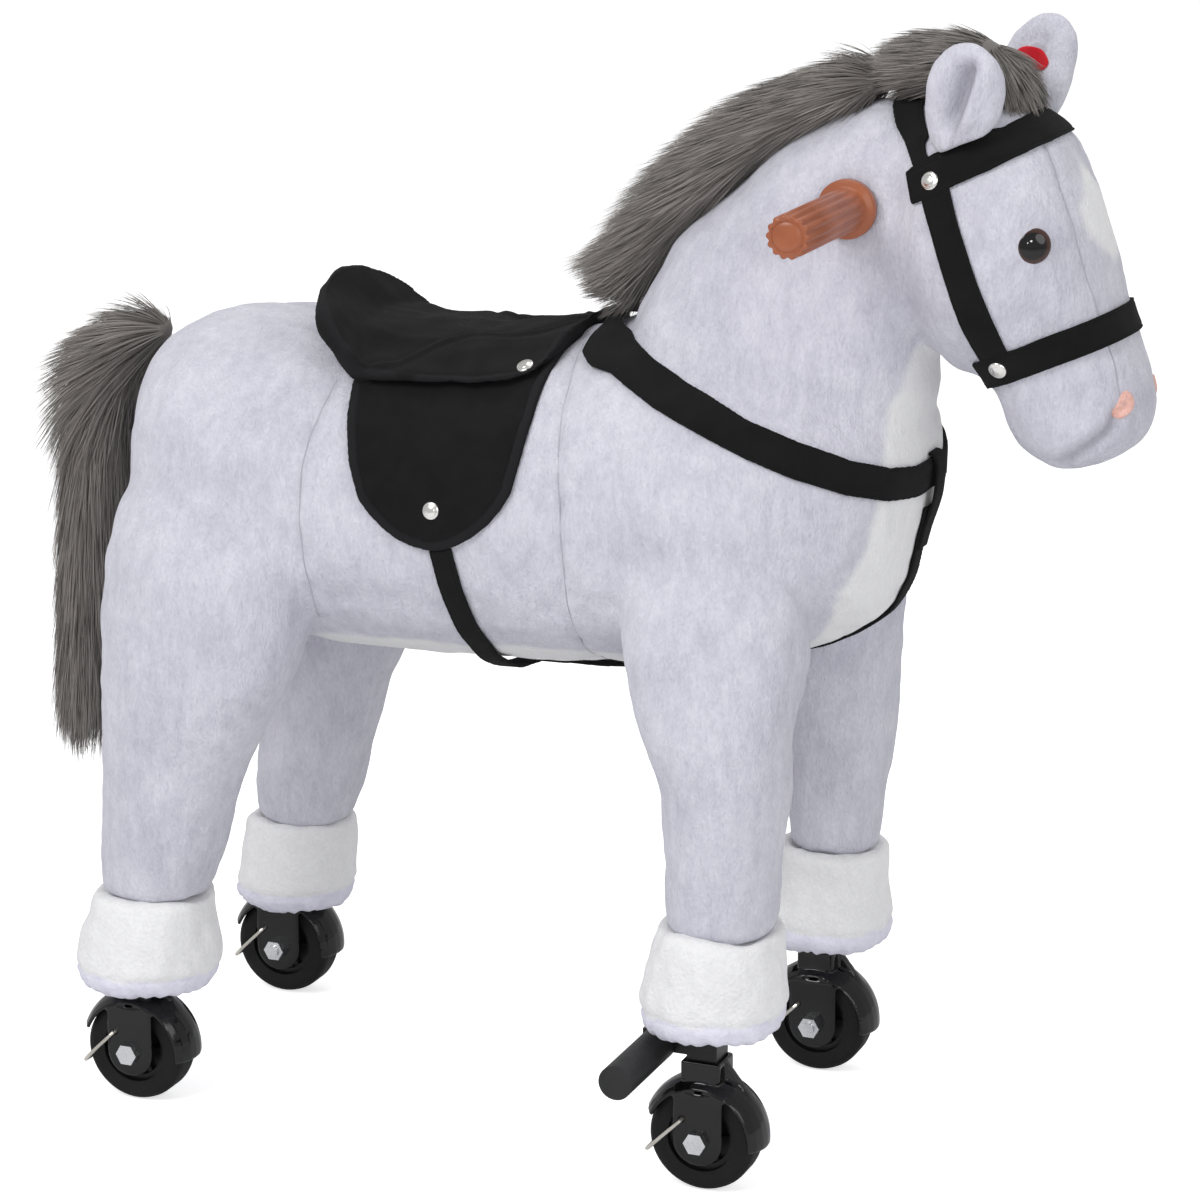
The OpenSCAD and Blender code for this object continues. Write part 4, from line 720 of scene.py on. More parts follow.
def body_skin():
    solids = [soup(n) for n in BODY] + rear_cores()
    ring = np.concatenate([solids[0][0], solids[1][0]])
    solids.append(hull_soup(ring[np.abs(ring[:, 0] - PIVOT_X) < FOLD_BRIDGE]))
    p, q = biggest(*skin_of(solids, BODY_VOXEL, BODY_BLUR))
    dent = 1.3 * waves(p, 0.16, 3) + 0.5 * waves(p, 0.06, 4) + 0.22 * waves(p, 0.018, 5)
    seam = np.max([bell(line_distance(p, line), 3.0 * MM) for line in SEAMS], axis=0)
    crease = line_distance(p, MOUTH)
    mouth = bell(crease, 4.0 * MM)
    puff = bell(crease - 9 * MM, 7 * MM)
    p = raised(p, q, 1.4 + dent - 1.5 * seam - 4.5 * mouth + 1.2 * puff)
    front = (step(normals_of(p, q)[:, 0], 0.0, 0.4) * step(p[:, 0], 0.150, 0.185)
             * step(0.272 - p[:, 0], 0, 0.008) * bell(p[:, 1], 0.07))
    p[:, 0] += front * np.interp(p[:, 2] / MM, CHEST_Z, CHEST_X, 0, 0) * MM
    white = averaged(white_patches(p, normals_of(p, q)), q, 3)
    # The mark for the material holds painted shade: a little along the seam grooves and more in the mouth
    # crease.
    ob = piece("plush_body", p, q, PLUSH, "plush", BOTH_HALVES, *BODY,
               white=white, seam=np.maximum(0.30 * seam, 0.9 * mouth))
    return p, q


SKIN_P, SKIN_Q = body_skin()
SKIN_TREE = tree_of(SKIN_P, SKIN_Q)


def skin_foot(v):
    """The nearest place on the plush skin, and the normal there."""
    hit, normal, _, _ = SKIN_TREE.find_nearest(Vector(v))
    return np.array(hit), np.array(normal)


def heights(points):
    """How far each point stands out of the plush skin."""
    out = []
    for v in map(Vector, points):
        hit, normal, _, _ = SKIN_TREE.find_nearest(v)
        out.append((v - hit).dot(normal))
    return np.array(out)


def seam_threads():
    """The sewn lines, as threads that lie in their grooves."""
    parts = []
    for line in SEAMS:
        for sign in (1, -1):
            way = smooth_line(smooth_line(np.array(line) * MM * [1, sign, 1], 90, 0), 90, 8)
            sewn = [foot - normal * THREAD_SUNK for foot, normal in map(skin_foot, way)]
            parts.append(tube(smooth_line(sewn, 150, 4), THREAD_RADIUS, 6))
    piece("seam_threads", *join(parts), THREAD, "plush", BOTH_HALVES)


seam_threads()


# Straps and saddle flaps, laid on the pile

def calm_skin(rounds):
    """The body's skin with its small dents averaged away: a tree to look in, and normals."""
    p = averaged(SKIN_P, SKIN_Q, rounds)
    return tree_of(p, SKIN_Q), normals_of(p, SKIN_Q)


CALM = {"strap": calm_skin(12), "flap": calm_skin(60)}


def laid(points, calm):
    """The foot of each point on the calm skin, and the normal there."""
    tree, normals = CALM[calm]
    foot, under = np.empty_like(points), np.empty_like(points)
    for i, v in enumerate(points):
        hit, _, k, _ = tree.find_nearest(Vector(v))
        foot[i] = hit
        under[i] = normals[SKIN_Q[k]].sum(0)
    return foot, unit(under)


# The cheek straps lean back over the poll: heights, and how far back.
POLL_Z = [0.640, 0.684]
POLL_BACK = [0.0, 0.017]
# The run under the belly hangs a little loose: places along the body, and how far down.
LOOSE_X = [-0.060, -0.030, 0.000, 0.042, 0.080, 0.120]
LOOSE_DROP = [0.002, 0.004, 0.0048, 0.0048, 0.003, 0.0]
LOOSE_TOP, LOOSE_FADE = 0.33, 0.022
# The breast strap's rear edge reaches further back: where it starts to, over what length, and how far.
BREAST_X, BREAST_FADE, BREAST_BACK = 0.062, 0.012, 9 * MM


def band_mesh(node, voxel, calm, thick, bind, bind_rise, more=()):
    """A strap or flap from its CAD band: rounded, bound along its edges, and lying on the pile."""
    points, quads = skin_of([soup(node), *more], voxel, 0, 0.35 * MM, 4)
    points = relaxed(points, quads, 20)
    if node == "cheek_straps":
        points[:, 0] -= np.interp(points[:, 2], POLL_Z, POLL_BACK)
    foot, under = laid(points, calm)
    facing = dots(normals_of(points, quads), under)
    height = 0.4 * MM + (0.5 + 0.5 * np.clip(1.2 * facing, -1, 1)) * thick
    points = foot + under * height[:, None]
    need = np.maximum(0, np.where(facing > 0.3, 0.8 * thick - heights(points), 0))
    need = averaged(np.maximum(need, averaged(need, quads, 10)), quads, 40) * 1.3
    points = averaged(points + under * need[:, None], quads, 2)
    if node in ("girth_strap", "belly_strap"):
        loose = np.interp(points[:, 0], LOOSE_X, LOOSE_DROP)
        points[:, 2] -= loose * step(LOOSE_TOP - points[:, 2], 0, LOOSE_FADE)
    if node == "breast_strap":
        points[:, 0] -= BREAST_BACK * step(BREAST_X - points[:, 0], 0, BREAST_FADE)
    away = distance_to(points, points[np.abs(facing) < 0.55])
    top = step(facing, 0.2, 0.7)
    bound = step(bind - away, -0.4 * MM, 0.4 * MM)
    rise = bind_rise * bound - 0.5 * MM * bell(away - bind, 0.8 * MM) + 0.2 * MM * waves(points, 0.03, 21)
    return points + under * (top * rise)[:, None], quads, top * bound


STRAPS = {"girth_strap": "rear_half", "belly_strap": BOTH_HALVES, "breast_strap": "front_half",
          "cheek_straps": "front_half", "brow_band": "front_half", "nose_band": "front_half"}
# Where the CAD bands are open: the brow band's ends behind the ears, the breast strap's at the chest.
BROW_Y, BROW_X, CHEST_RUN_X = 0.030, 0.308, 0.2375
# How much of a strap's end is taken for a bridge, and how far the belly strap goes under the girth.
STRAP_END, STRAP_TUCK = 6 * MM, 8 * MM


def runs_of(node):
    """The runs of a band that its CAD solid leaves open."""
    points, _ = soup(node)
    x = points[:, 0]
    if node == "brow_band":
        return [hull_soup(points[(points[:, 1] * sign > BROW_Y) & (x < BROW_X)]) for _, sign in SIDES]
    if node == "breast_strap":
        return [hull_soup(points[x > CHEST_RUN_X])]
    if node == "belly_strap":
        ahead, _ = soup("chest_strap")
        rear = points[x < x.min() + STRAP_END]
        ends = np.concatenate([points[x > x.max() - STRAP_END],
                               ahead[ahead[:, 0] < ahead[:, 0].min() + STRAP_END]])
        tuck = np.concatenate([rear, rear - [STRAP_TUCK, 0, 0]])
        return [soup("chest_strap"), hull_soup(ends), hull_soup(tuck)]
    return []


BANDS = {}
for node, body in STRAPS.items():
    strap_p, strap_q, _ = band_mesh(node, 0.0008, "strap", 2.5 * MM, 1.6 * MM, 0.25 * MM, runs_of(node))
    BANDS[node] = strap_p, strap_q
    stands_for = ["belly_strap", "chest_strap"] if node == "belly_strap" else [node]
    piece("webbing_" + node, strap_p, strap_q, STRAP, "strap", body, *stands_for)

flap_p, flap_q, flap_bound = band_mesh("saddle_flaps", 0.0011, "flap", 3.0 * MM, 6.0 * MM, 0.8 * MM)
for side, sign in SIDES:
    own = np.sign(flap_p[:, 1]) == sign
    flap = piece("saddle_skirt_" + side, *kept(flap_p, flap_q, own), SADDLE, "saddle_cloth", "rear_half",
                 "saddle_flaps", bind=flap_bound[own])


# The keeper in mm: its height and rise over the chest, its section, and the quads that close its ends.
KEEPER_WAY = [(399, 3.2), (412, 3.8), (422, 4.8), (432, 6.4), (441, 7.4), (450, 7.0), (457, 5.4),
              (461, 2.6), (460, 0.3)]
KEEPER_SECTION = [(-8.6, 0.0), (-8.3, 0.8), (-7.4, 1.1), (7.4, 1.1), (8.3, 0.8), (8.6, 0.0), (8.3, -0.8),
                  (7.4, -1.1), (-7.4, -1.1), (-8.3, -0.8)]
KEEPER_END = np.array([[0, 1, 8, 9], [1, 2, 7, 8], [2, 3, 6, 7], [3, 4, 5, 6]])


def chest_keeper():
    """The keeper of webbing on the chest that holds the breast strap up."""
    way = []
    for z, out in KEEPER_WAY:
        hit, _, _, _ = SKIN_TREE.ray_cast(Vector((0.285, 0, z * MM)), Vector((-1, 0, 0)))
        way.append((hit.x + out * MM, 0, z * MM))
    way = smooth_line(smooth_line(way, 48, 0), 48, 6)
    t = unit(np.gradient(way, axis=0))
    out = np.stack([t[:, 2], 0 * t[:, 1], -t[:, 0]], 1)
    ring = np.stack([way + np.array([0, a, 0]) * MM + out * b * MM for a, b in KEEPER_SECTION], 1)
    points, sides = ring.reshape(-1, 3), len(KEEPER_SECTION)
    last = (len(way) - 1) * sides
    quads = np.concatenate([ring_quads(len(way), sides), KEEPER_END, last + KEEPER_END[:, ::-1]])
    piece("chest_keeper", points, outward(points, quads), STRAP, "strap", "front_half")


chest_keeper()


# Saddle seat with its cantle

CANTLE = np.array([0.7071, 0.0, 0.7071])
CANTLE_HEIGHT, SEAT_BIND = 17 * MM, 5.0 * MM
WELT = [(-100, -80, 500), (-85.6, -74.0, 504.4), (-75.5, -57.4, 511.2), (-63.1, -45.1, 516.3),
        (-49.6, -35.3, 517.4), (-22.5, -38.5, 520.0), (-6.3, -31.7, 523.0), (4.4, -19.9, 526.1), (12, -8, 527)]


def seat():
    p, q = biggest(*skin_of([soup("saddle_seat")], 0.0017, 1.0))
    p = p + 0.7 * (p - averaged(p, q, 14))
    n = normals_of(p, q)
    facing = np.where(heights(p) > CANTLE_HEIGHT, n @ CANTLE, dots(n, laid(p, "flap")[1]))
    away = distance_to(p, p[np.abs(facing) < 0.42])
    face = step(facing, 0.1, 0.4)
    bound = averaged(step(SEAT_BIND - away, -0.5 * MM, 0.5 * MM) * face, q, 2)
    groove = bell(away - SEAT_BIND, 0.9 * MM) * face
    welt = line_distance(p, WELT)
    rise = step(n[:, 2], 0.1, 0.5) * (1.3 * bell(welt, 2.4 * MM) - 0.8 * bell(welt - 4.5 * MM, 2.5 * MM))
    rise = rise + 0.8 * waves(p, 0.07, 31) + 0.35 * waves(p, 0.025, 32) + 0.5 * bound - 0.7 * groove
    return raised(p, q, rise), q, bound


seat_p, seat_q, seat_bound = seat()
saddle = piece("saddle_pad", seat_p, seat_q, SADDLE, "saddle_cloth", "rear_half", "saddle_seat", bind=seat_bound)


# Studs and rivets: domed caps on the straps

# A cap's profile: share of its radius, and height in mm.
CAP_RADIUS = 5.8 * MM
CAP_PROFILE = [(0.0, 2.3), (0.25, 2.25), (0.45, 2.05), (0.58, 1.7), (0.66, 1.35), (0.74, 1.4), (0.86, 1.25),
               (0.95, 0.8), (1.0, 0.2), (0.98, -1.6)]


def caps(name, node, body, under):
    """A cap over each of a node's four studs, standing on the cloth below it."""
    trees = [tree_of(p, q) for p, q in under]
    points, _ = soup(node)
    middle = points[:, 2].mean()
    parts = []
    for _, sign in SIDES:
        for high in (False, True):
            own = flank(points, sign)
            c = own[(own[:, 2] > middle) == high].mean(0)
            out = laid(c[None], "strap")[1][0]
            u, v = axes_of(out)
            spots = []
            for a, b in ((0, 0), (1, 0), (-1, 0), (0, 1), (0, -1)):
                spot = c + (a * u + b * v) * 0.7 * CAP_RADIUS
                start = Vector(spot + out * 0.03)
                hits = [t.ray_cast(start, Vector(-out))[0] for t in trees]
                hits = [h for h in hits if h is not None and (h - start).length < 0.06]
                spots.append(np.array(min(hits, key=lambda h: (h - start).length)) if hits else spot)
            axis = unit(np.cross(spots[1] - spots[2], spots[3] - spots[4]))
            axis = axis if axis @ out > 0 else -axis
            rows = [(r * CAP_RADIUS, r * CAP_RADIUS, h * MM) for r, h in CAP_PROFILE]
            parts.append(turned(np.mean(spots, 0), *axes_of(axis), axis, rows, 32))
    piece(name, *join(parts), NICKEL, "rivet", body, node)


caps("rivet_caps", "bridle_rivets", "front_half", [BANDS[n] for n in ("cheek_straps", "brow_band", "nose_band")])
caps("stud_caps", "saddle_studs", "rear_half", [(flap_p, flap_q), (seat_p, seat_q)])


# Cuffs over the fetlocks

# A cuff's outline: share of its height, and share of its greatest width.
CUFF_UP = [0, 0.04, 0.10, 0.18, 0.30, 0.5, 0.75, 0.92, 1.0]
CUFF_WIDE = [0.72, 0.84, 0.95, 1.01, 1.02, 0.97, 0.915, 0.885, 0.84]
CUFF_HEM = 0.23


def cuffs(end):
    """The two cuffs of one end: a flared skirt of pile over a gathered sole."""
    node = end + "_cuffs"
    points, quads = skin_of([soup(node)], 0.0026, 1.4)
    label = islands(len(points), quads)
    for side, sign in SIDES:
        rings = [label == k for k in np.unique(label)]
        own = max((r for r in rings if np.sign(points[r, 1].mean()) == sign), key=np.sum)
        p, q = kept(points, quads, own)
        c = p.mean(0)
        low, high = p[:, 2].min(), p[:, 2].max()
        up = (p[:, 2] - low) / (high - low)
        turn = np.arctan2(p[:, 1] - c[1], p[:, 0] - c[0])
        flat = (p - c) * [1, 1, 0]
        far = np.linalg.norm(flat, axis=1)
        outer = dots(normals_of(p, q), flat) / np.maximum(far, 1e-6)
        rows = np.linspace(0, 1, 15)
        was = [np.mean(far[(np.abs(up - r) < 0.05) & (outer > 0.05)]) for r in rows]
        want = np.interp(rows, CUFF_UP, CUFF_WIDE) * np.max(was)
        p = p + flat * ((np.interp(up, rows, want / was) - 1) * step(outer, -0.3, 0.1))[:, None]
        p = averaged(p, q, 2)
        gather = np.sin(26 * turn + 2 * np.sin(3 * turn)) * step(0.2 - up, 0, 0.16)
        fold = 1.0 * waves(p, 0.06, 41) + 0.3 * waves(p, 0.016, 42)
        p = raised(p, q, 0.6 + fold + 0.9 * gather - 1.6 * bell(up - CUFF_HEM, 0.035))
        sole = step(CUFF_HEM + 0.010 * np.sin(9 * turn) - up, -0.012, 0.012)
        ob = piece(f"cuff_{end}_{side}", p, q, CUFF, "white_plush", end + "_half", node, sole=sole)


cuffs("front")
cuffs("rear")


# Ears, and the button in the far one

def ear(side, depth, lift, *fill):
    """An ear with a cup in its near face, as deep as given in mm; lift raises the front of its foot."""
    node = "ear_" + side
    p, q = biggest(*skin_of([soup(node), *fill], 0.0016, 1.2))
    low, high = p.min(0), p.max(0)
    u = (p[:, 0] - 0.5 * (low[0] + high[0])) / ((high[0] - low[0]) / 2)
    v = (p[:, 2] - low[2]) / (high[2] - low[2])
    face = step(-normals_of(p, q)[:, 1], 0.15, 0.55)
    d = u - (0.05 + 0.75 * (v - 0.45))
    cup = np.where(d < 0, bell(d, 0.48), bell(d, 0.09)) * bell(v - 0.50, 0.30, 4)
    lip = bell(d - 0.32, 0.20) * bell(v - 0.42, 0.34, 4)
    p[:, 1] += face * (depth * cup - 0.25 * depth * lip) * MM
    foot = 0.03 + lift * np.clip((u + 0.85) / 1.85, 0, 1)
    p[:, 2] = low[2] + (high[2] - low[2]) * (foot + (1 - foot) * v)
    p = averaged(p, q, 1)
    p = raised(p, q, 0.4 * waves(p, 0.03, 51))
    # Painted shade for the material: darker in the cup and along the crease of the ear's near face.
    crease = bell(d - 0.02, 0.07) * step(0.75 - v, 0, 0.2)
    ob = piece("plush_" + node, p, q, PLUSH, "plush", "front_half", node,
               white=np.zeros(len(p)), seam=face * np.clip(0.55 * cup + 0.5 * crease, 0, 1))
    return p, q


BUTTON_AT = soup("sound_button")[0]
POCKET = hull_soup(np.concatenate([BUTTON_AT + [0, 0.0045, 0], BUTTON_AT - [0, 0.0075, 0]]))
# The patch: its offset from the button, half its length and width, its tilt, and its profile in mm.
PATCH_OFF = np.array([-3.0, 0, -2.5]) * MM
PATCH_LONG, PATCH_WIDE, PATCH_TILT, PATCH_SIDES = 11.0 * MM, 6.8 * MM, math.radians(-16), 40
PATCH_PROFILE = [(0.0, 1.9), (0.3, 1.9), (0.6, 1.8), (0.85, 1.6), (0.95, 1.3), (1.0, 0.8), (1.0, -1.0)]

ear("right", 13.0, 0.27)
far_ear = ear("left", 5.0, 0.0, POCKET)


def button_patch():
    """A plain red oval of cloth over the button in the far ear, which goes in with it."""
    tree = tree_of(*far_ear)
    u = np.array([math.cos(PATCH_TILT), 0, math.sin(PATCH_TILT)])
    v = np.array([-math.sin(PATCH_TILT), 0, math.cos(PATCH_TILT)])
    out = np.array([0, -1.0, 0])
    rows = [(PATCH_LONG * r, PATCH_WIDE * r, 0.0) for r, _ in PATCH_PROFILE]
    p, q = turned(BUTTON_AT.mean(0) + PATCH_OFF, u, v, out, rows, PATCH_SIDES)
    heads = [h for _, h in PATCH_PROFILE]
    rise = np.append(heads[0], np.repeat(heads[1:], PATCH_SIDES))
    for i, at in enumerate(p):
        hit, _, _, _ = tree.ray_cast(Vector(at + out * 0.03), Vector(-out))
        if hit is not None:
            p[i] = np.array(hit) + out * rise[i] * MM
    piece("button_patch", p, q, BUTTON, "button", "sound_button", "sound_button")


button_patch()


# Mane, forelock and tail: a soft core under locks of hair

STRAND_STEPS = 4
# How many hairs make a lock, how far they draw together, and the tone of the core under them.
LOCK_HAIRS, LOCK_DRAW, CORE_TONE = 9, 0.35, 0.22


def strands(root, flow, normal, length, width, lean, droop, seed):
    """Quads of tapered hairs, drawn together into locks, and the tone of each point."""
    rng = np.random.default_rng(seed)
    count = len(root)
    d = unit(flow + lean[:, None] * normal + rng.normal(size=(count, 3)) * 0.07)
    long = length * rng.uniform(0.65, 1.1, count)
    heads = rng.choice(count, max(1, count // LOCK_HAIRS), replace=False)
    owner = np.empty(count, int)
    for i in range(0, count, 2000):
        gap = ((root[i:i + 2000, None, :] - root[None, heads, :]) ** 2).sum(2)
        owner[i:i + 2000] = heads[gap.argmin(1)]
    at = np.linspace(0, 1, STRAND_STEPS + 1)
    way = (root[:, None, :] + long[:, None, None] * (at[None, :, None] * d[:, None, :]
                                                    + (at ** 2)[None, :, None] * droop))
    pull = (LOCK_DRAW * at ** 1.3)[None, :, None]
    way = way * (1 - pull) + way[owner] * pull
    side = unit(np.cross(d, normal))
    twist = rng.normal(size=count) * 0.6
    side = side * np.cos(twist)[:, None] + normal * np.sin(twist)[:, None]
    half = 0.5 * width * rng.uniform(0.6, 1.3, count)
    taper = np.maximum((1 - at) ** 0.6, 0.08)
    off = side[:, None, :] * (half[:, None] * taper[None, :])[:, :, None]
    points = np.stack([way - off, way + off], 2).reshape(-1, 3)
    base = np.arange(count)[:, None] * (2 * (STRAND_STEPS + 1)) + 2 * np.arange(STRAND_STEPS)[None, :]
    quads = np.stack([base, base + 1, base + 3, base + 2], 2).reshape(-1, 4)
    lock = rng.uniform(0, 1, count)
    tone = 0.22 * lock[owner] + 0.34 * rng.uniform(0, 1, count)
    tone = tone[:, None] + 0.42 * (at ** 1.5)[None, :]
    return points, quads, np.repeat(tone.reshape(-1), 2)


def scattered(p, q, count, seed):
    """Random places on a surface, with their normals."""
    rng = np.random.default_rng(seed)
    area = np.linalg.norm(np.cross(p[q[:, 2]] - p[q[:, 0]], p[q[:, 3]] - p[q[:, 1]]), axis=1)
    pick = rng.choice(len(q), count, p=area / area.sum())
    a, b = rng.uniform(0, 1, (2, count, 1))
    weights = [(1 - a) * (1 - b), a * (1 - b), a * b, (1 - a) * b]
    place, normal = (sum(w * values[q[pick, i]] for i, w in enumerate(weights))
                     for values in (p, normals_of(p, q)))
    return place, unit(normal)


def along(flow, normal):
    """A flow laid on the surface, streaming off it where the surface ends."""
    into = dots(flow, normal)
    return unit(flow - np.where(into < 0, into, 0.4 * into)[:, None] * normal)


def hair(name, node, body, count, flow_at, length_at, lean_at, width, shrink, droop, seed, short=None):
    """Strands on a shrunken core; short is an axis, a place on it and the share kept of what is past that."""
    p, q = biggest(*skin_of([soup(node)], 0.0032, 1.6, -shrink))
    if short:
        axis, start, share = short
        past = p[:, axis] - start
        p[:, axis] -= (1 - share) * (np.maximum(0, past) if axis == 0 else np.minimum(0, past))
    root, normal = scattered(p, q, count, seed)
    flow = unit(flow_at(root))
    grows = dots(flow, normal) > -0.7
    root, normal, flow = root[grows], normal[grows], along(flow[grows], normal[grows])
    sp, sq, tone = strands(root, flow, normal, length_at(root), width, lean_at(root, normal),
                           np.array(droop), seed + 1)
    piece(name, *join([(p, q), (sp, sq)]), HAIR, "hair", body, node,
          tone=np.concatenate([np.full(len(p), CORE_TONE), tone]))


def mane_flow(root):
    fall = np.interp(root[:, 2], [0.535, 0.565, 0.60, 0.68], [-0.04, -0.16, -0.42, -0.20])
    return np.stack([np.full(len(root), -0.93), np.zeros(len(root)), fall], 1)


def mane_lean(root, normal):
    return 0.10 + 0.22 * step(-normal[:, 0], 0.2, 0.8)


def mane_length(root):
    return np.interp(root[:, 2], [0.53, 0.56, 0.58, 0.62, 0.70], [0.024, 0.036, 0.056, 0.050, 0.036])


FORELOCK_X = 0.262


def forelock_flow(root):
    ahead = step(root[:, 0], FORELOCK_X, 0.285)[:, None]
    down = np.stack([0.0 * root[:, 1] + 0.45, 0.35 * np.sign(root[:, 1]), 0.0 * root[:, 1] - 0.85], 1)
    return ahead * down + (1 - ahead) * [[-0.98, 0.0, 0.06]]


def forelock_lean(root, normal):
    return np.full(len(root), 0.15)


def forelock_length(root):
    return np.interp(root[:, 0], [0.23, 0.25, 0.27, 0.285, 0.30], [0.036, 0.032, 0.028, 0.024, 0.018])


TAIL_LOW, TAIL_TOP = (corner.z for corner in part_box("tail"))


def tail_flow(root):
    top = step(root[:, 2], TAIL_TOP - 0.075, TAIL_TOP - 0.02)[:, None]
    return top * [[-1.0, 0.0, -0.10]] + (1 - top) * [[-0.06, 0.0, -1.0]]


def tail_lean(root, normal):
    return 0.08 + 0.16 * step(root[:, 2], TAIL_TOP - 0.09, TAIL_TOP - 0.02)


def tail_length(root):
    """Hairs end at wisps of different lengths over the tail's foot."""
    long = np.interp(root[:, 2], [TAIL_LOW, TAIL_TOP - 0.05, TAIL_TOP], [0.066, 0.060, 0.036])
    wisp = np.clip(0.5 + 0.6 * waves(root * [1, 1, 0], 0.011, 67), 0, 1)
    return np.minimum(long, root[:, 2] - TAIL_LOW - 0.008 - 0.026 * wisp)


hair("hair_mane", "mane", "front_half", 16000, mane_flow, mane_length, mane_lean,
     width=0.0009, shrink=0.005, droop=(-0.03, 0, -0.10), seed=61)
hair("hair_forelock", "forelock", "front_half", 6500, forelock_flow, forelock_length, forelock_lean,
     width=0.0009, shrink=0.005, droop=(0, 0, -0.12), seed=63, short=(0, FORELOCK_X, 0.84))
hair("hair_tail", "tail", "rear_half", 18000, tail_flow, tail_length, tail_lean,
     width=0.0010, shrink=0.007, droop=(0, 0, -0.16), seed=65, short=(2, TAIL_LOW + 0.08, 0.42))


# Eyes and nostrils

EYE_RADIUS, EYE_RISE, EYE_SUNK, EYE_BACK, EYE_RIM = (v * MM for v in (11.6, 6.5, 2.0, 2.5, 3.0))
EYE_RINGS, EYE_SIDES = 14, 40


def eyes():
    """Domes of glass, set in the skin and turned a little outward."""
    points, _ = soup("eyes")
    r = np.linspace(0, 1, EYE_RINGS + 1)
    dome = EYE_RISE * np.sqrt(np.maximum(0, 1 - (0.97 * r) ** 2.2))
    dome[-1] -= EYE_RIM
    rows = np.stack([EYE_RADIUS * r, EYE_RADIUS * r, dome], 1)
    for side, sign in SIDES:
        foot, normal = skin_foot(flank(points, sign).mean(0))
        out = unit(normal * 0.5 + np.array([0.25, 0.97 * sign, 0.05]) * 0.5)
        base = foot - out * EYE_SUNK - [EYE_BACK, 0, 0]
        piece("eye_" + side, *turned(base, *axes_of(out), out, rows, EYE_SIDES), GLASS, "eye", "front_half",
              "eyes", ring=np.append(0, np.repeat(r[1:], EYE_SIDES)))


eyes()

NOSTRIL_WIDE, NOSTRIL_HIGH = 5.8 * MM, 9.2 * MM
NOSTRIL_RINGS, NOSTRIL_SIDES = 9, 28


def nostrils():
    """Small felt ovals with a dimple."""
    points, _ = soup("nostrils")
    for side, sign in SIDES:
        middle, out = skin_foot(flank(points, sign).mean(0))
        up = np.array([0.42, -0.3 * sign, 1.0])
        v = unit(up - (up @ out) * out)
        u = np.cross(v, out)
        pts = []
        for i in range(NOSTRIL_RINGS + 1):
            r = i / NOSTRIL_RINGS
            rise = 1.5 - 1.6 * bell(r, 0.28) - (2.2 if i == NOSTRIL_RINGS else 0)
            for t in around(NOSTRIL_SIDES):
                wide = r * (1 + 0.06 * math.sin(3 * t + 1))
                oval = NOSTRIL_WIDE * math.cos(t) * u + NOSTRIL_HIGH * math.sin(t) * v
                foot, normal = skin_foot(middle + wide * oval)
                pts.append(foot + normal * rise * MM)
        quads = ring_quads(NOSTRIL_RINGS + 1, NOSTRIL_SIDES, TURNED_OVER)
        piece("nostril_" + side, np.array(pts), quads, FELT, "felt", "front_half", "nostrils")


nostrils()


# Grips whose ribs run out to the end, with a raised disc and a fine ring there

# Each ring of a grip in mm: its distance from the end, its radius on a rib, the depth of its grooves.
GRIP_RINGS = [(0, 0.05, 0), (0, 10.0, 0), (0, 11.8, 0.8), (0.5, 12.9, 1.4), (1.6, 13.5, 1.6), (50, 13.5, 1.6),
              (92, 13.5, 1.6), (97, 13.5, 0.5), (100, 13.6, 0), (102.4, 14.4, 0), (103.4, 17.3, 0),
              (104.2, 18.0, 0), (109.7, 18.0, 0), (110.5, 17.2, 0), (110.5, 10.3, 0)]
GRIP_RIBS, GRIP_RADIUS = 14, 13.5 * MM
# The disc: share of the grip's radius, and height in mm. The ring: the same share, and its thickness.
DISC_PROFILE = [(0.0, 0.7), (0.4, 0.7), (0.62, 0.6), (0.66, 0.0), (0.69, -0.4), (0.70, -0.8)]
RING_SHARE, RING_THICK, RING_OUT = 0.74, 0.45 * MM, 0.05 * MM


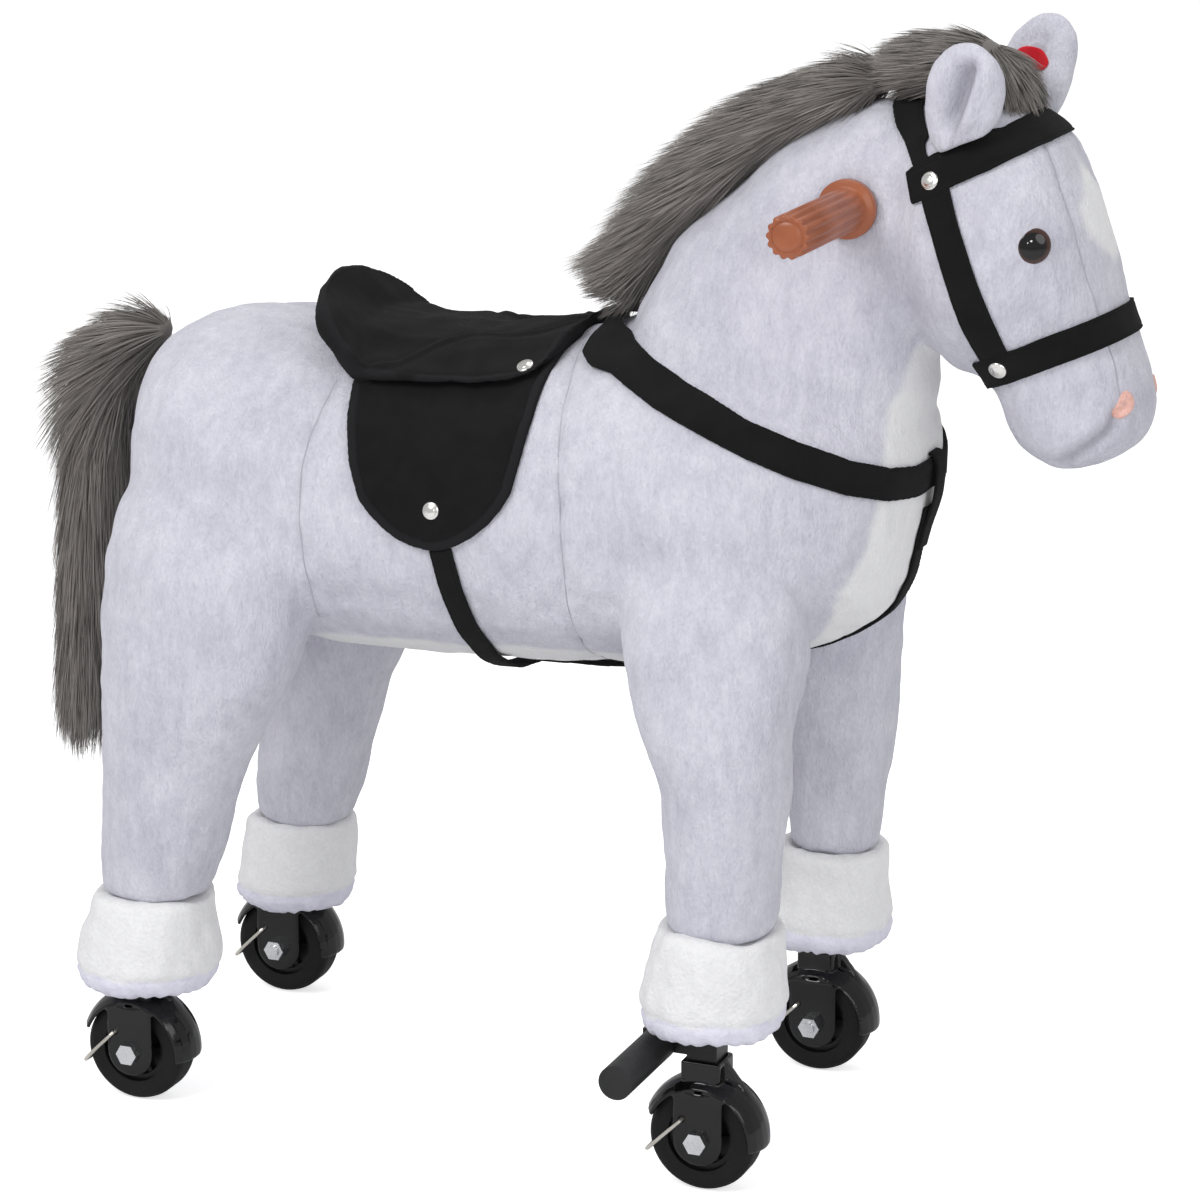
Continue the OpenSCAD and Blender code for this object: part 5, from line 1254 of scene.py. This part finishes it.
def grip_body(c, sign):
    turn = around(8 * GRIP_RIBS)
    groove = (0.5 - 0.5 * np.cos(GRIP_RIBS * turn)) ** 1.5
    rings = []
    for back, radius, depth in GRIP_RINGS:
        r = (radius - depth * groove) * MM
        y = np.full(len(turn), c[1] - sign * back * MM)
        rings.append(np.stack([c[0] + r * np.cos(turn), y, c[2] + r * np.sin(turn)], 1))
    points = np.concatenate(rings)
    return points, outward(points, ring_quads(len(rings), len(turn)))


def hand_grips():
    points, _ = soup("handle_grips")
    parts = []
    for _, sign in SIDES:
        own = flank(points, sign)
        end = own[np.abs(own[:, 1]) > np.abs(own[:, 1]).max() - 0.3 * MM]
        c = 0.5 * (end.min(0) + end.max(0))
        parts.append(grip_body(c, sign))
        rows = [(GRIP_RADIUS * r, GRIP_RADIUS * r, h * MM) for r, h in DISC_PROFILE]
        parts.append(turned(c, np.array([1.0, 0, 0]), UP, np.array([0, sign, 0.0]), rows, 40))
        reach = GRIP_RADIUS * RING_SHARE
        ring = [c + [reach * math.cos(t), sign * RING_OUT, reach * math.sin(t)]
                for t in np.linspace(0, 2 * math.pi, 49)]
        parts.append(tube(ring, RING_THICK, 6))
    piece("hand_grips", *join(parts), GRIP, "grip", "front_half", "handle_grips")


hand_grips()


# CAD nodes that keep their own shape

FINISH = {
    "front_frame": STEEL, "front_posts": STEEL, "rear_frame": STEEL, "rear_posts": STEEL,
    "seat_board": BOARD, "pivot_bolt": ZINC, "return_spring": ZINC, "handle_bar": STEEL,
    "peg_bars": STEEL, "peg_sleeves": PEG, "front_axle_bolts": ZINC, "rear_axle_bolts": ZINC,
    "sound_box": SOUND,
}
for corner in ("front_right", "front_left", "rear_right", "rear_left"):
    for kind, mat in (("guard_", GUARD), ("rim_", RIM), ("tyre_", TYRE), ("catch_", WIRE)):
        FINISH[kind + corner] = mat
for node, mat in FINISH.items():
    data = NODES[node].data
    data.materials.clear()
    data.materials.append(mat)
    if mat is GUARD:
        mould = NODES[node].modifiers.new("mould", "REMESH")
        mould.mode, mould.voxel_size, mould.use_smooth_shade = "VOXEL", 0.9 * MM, True
        soft = NODES[node].modifiers.new("soft", "SMOOTH")
        soft.factor, soft.iterations = 0.5, 10
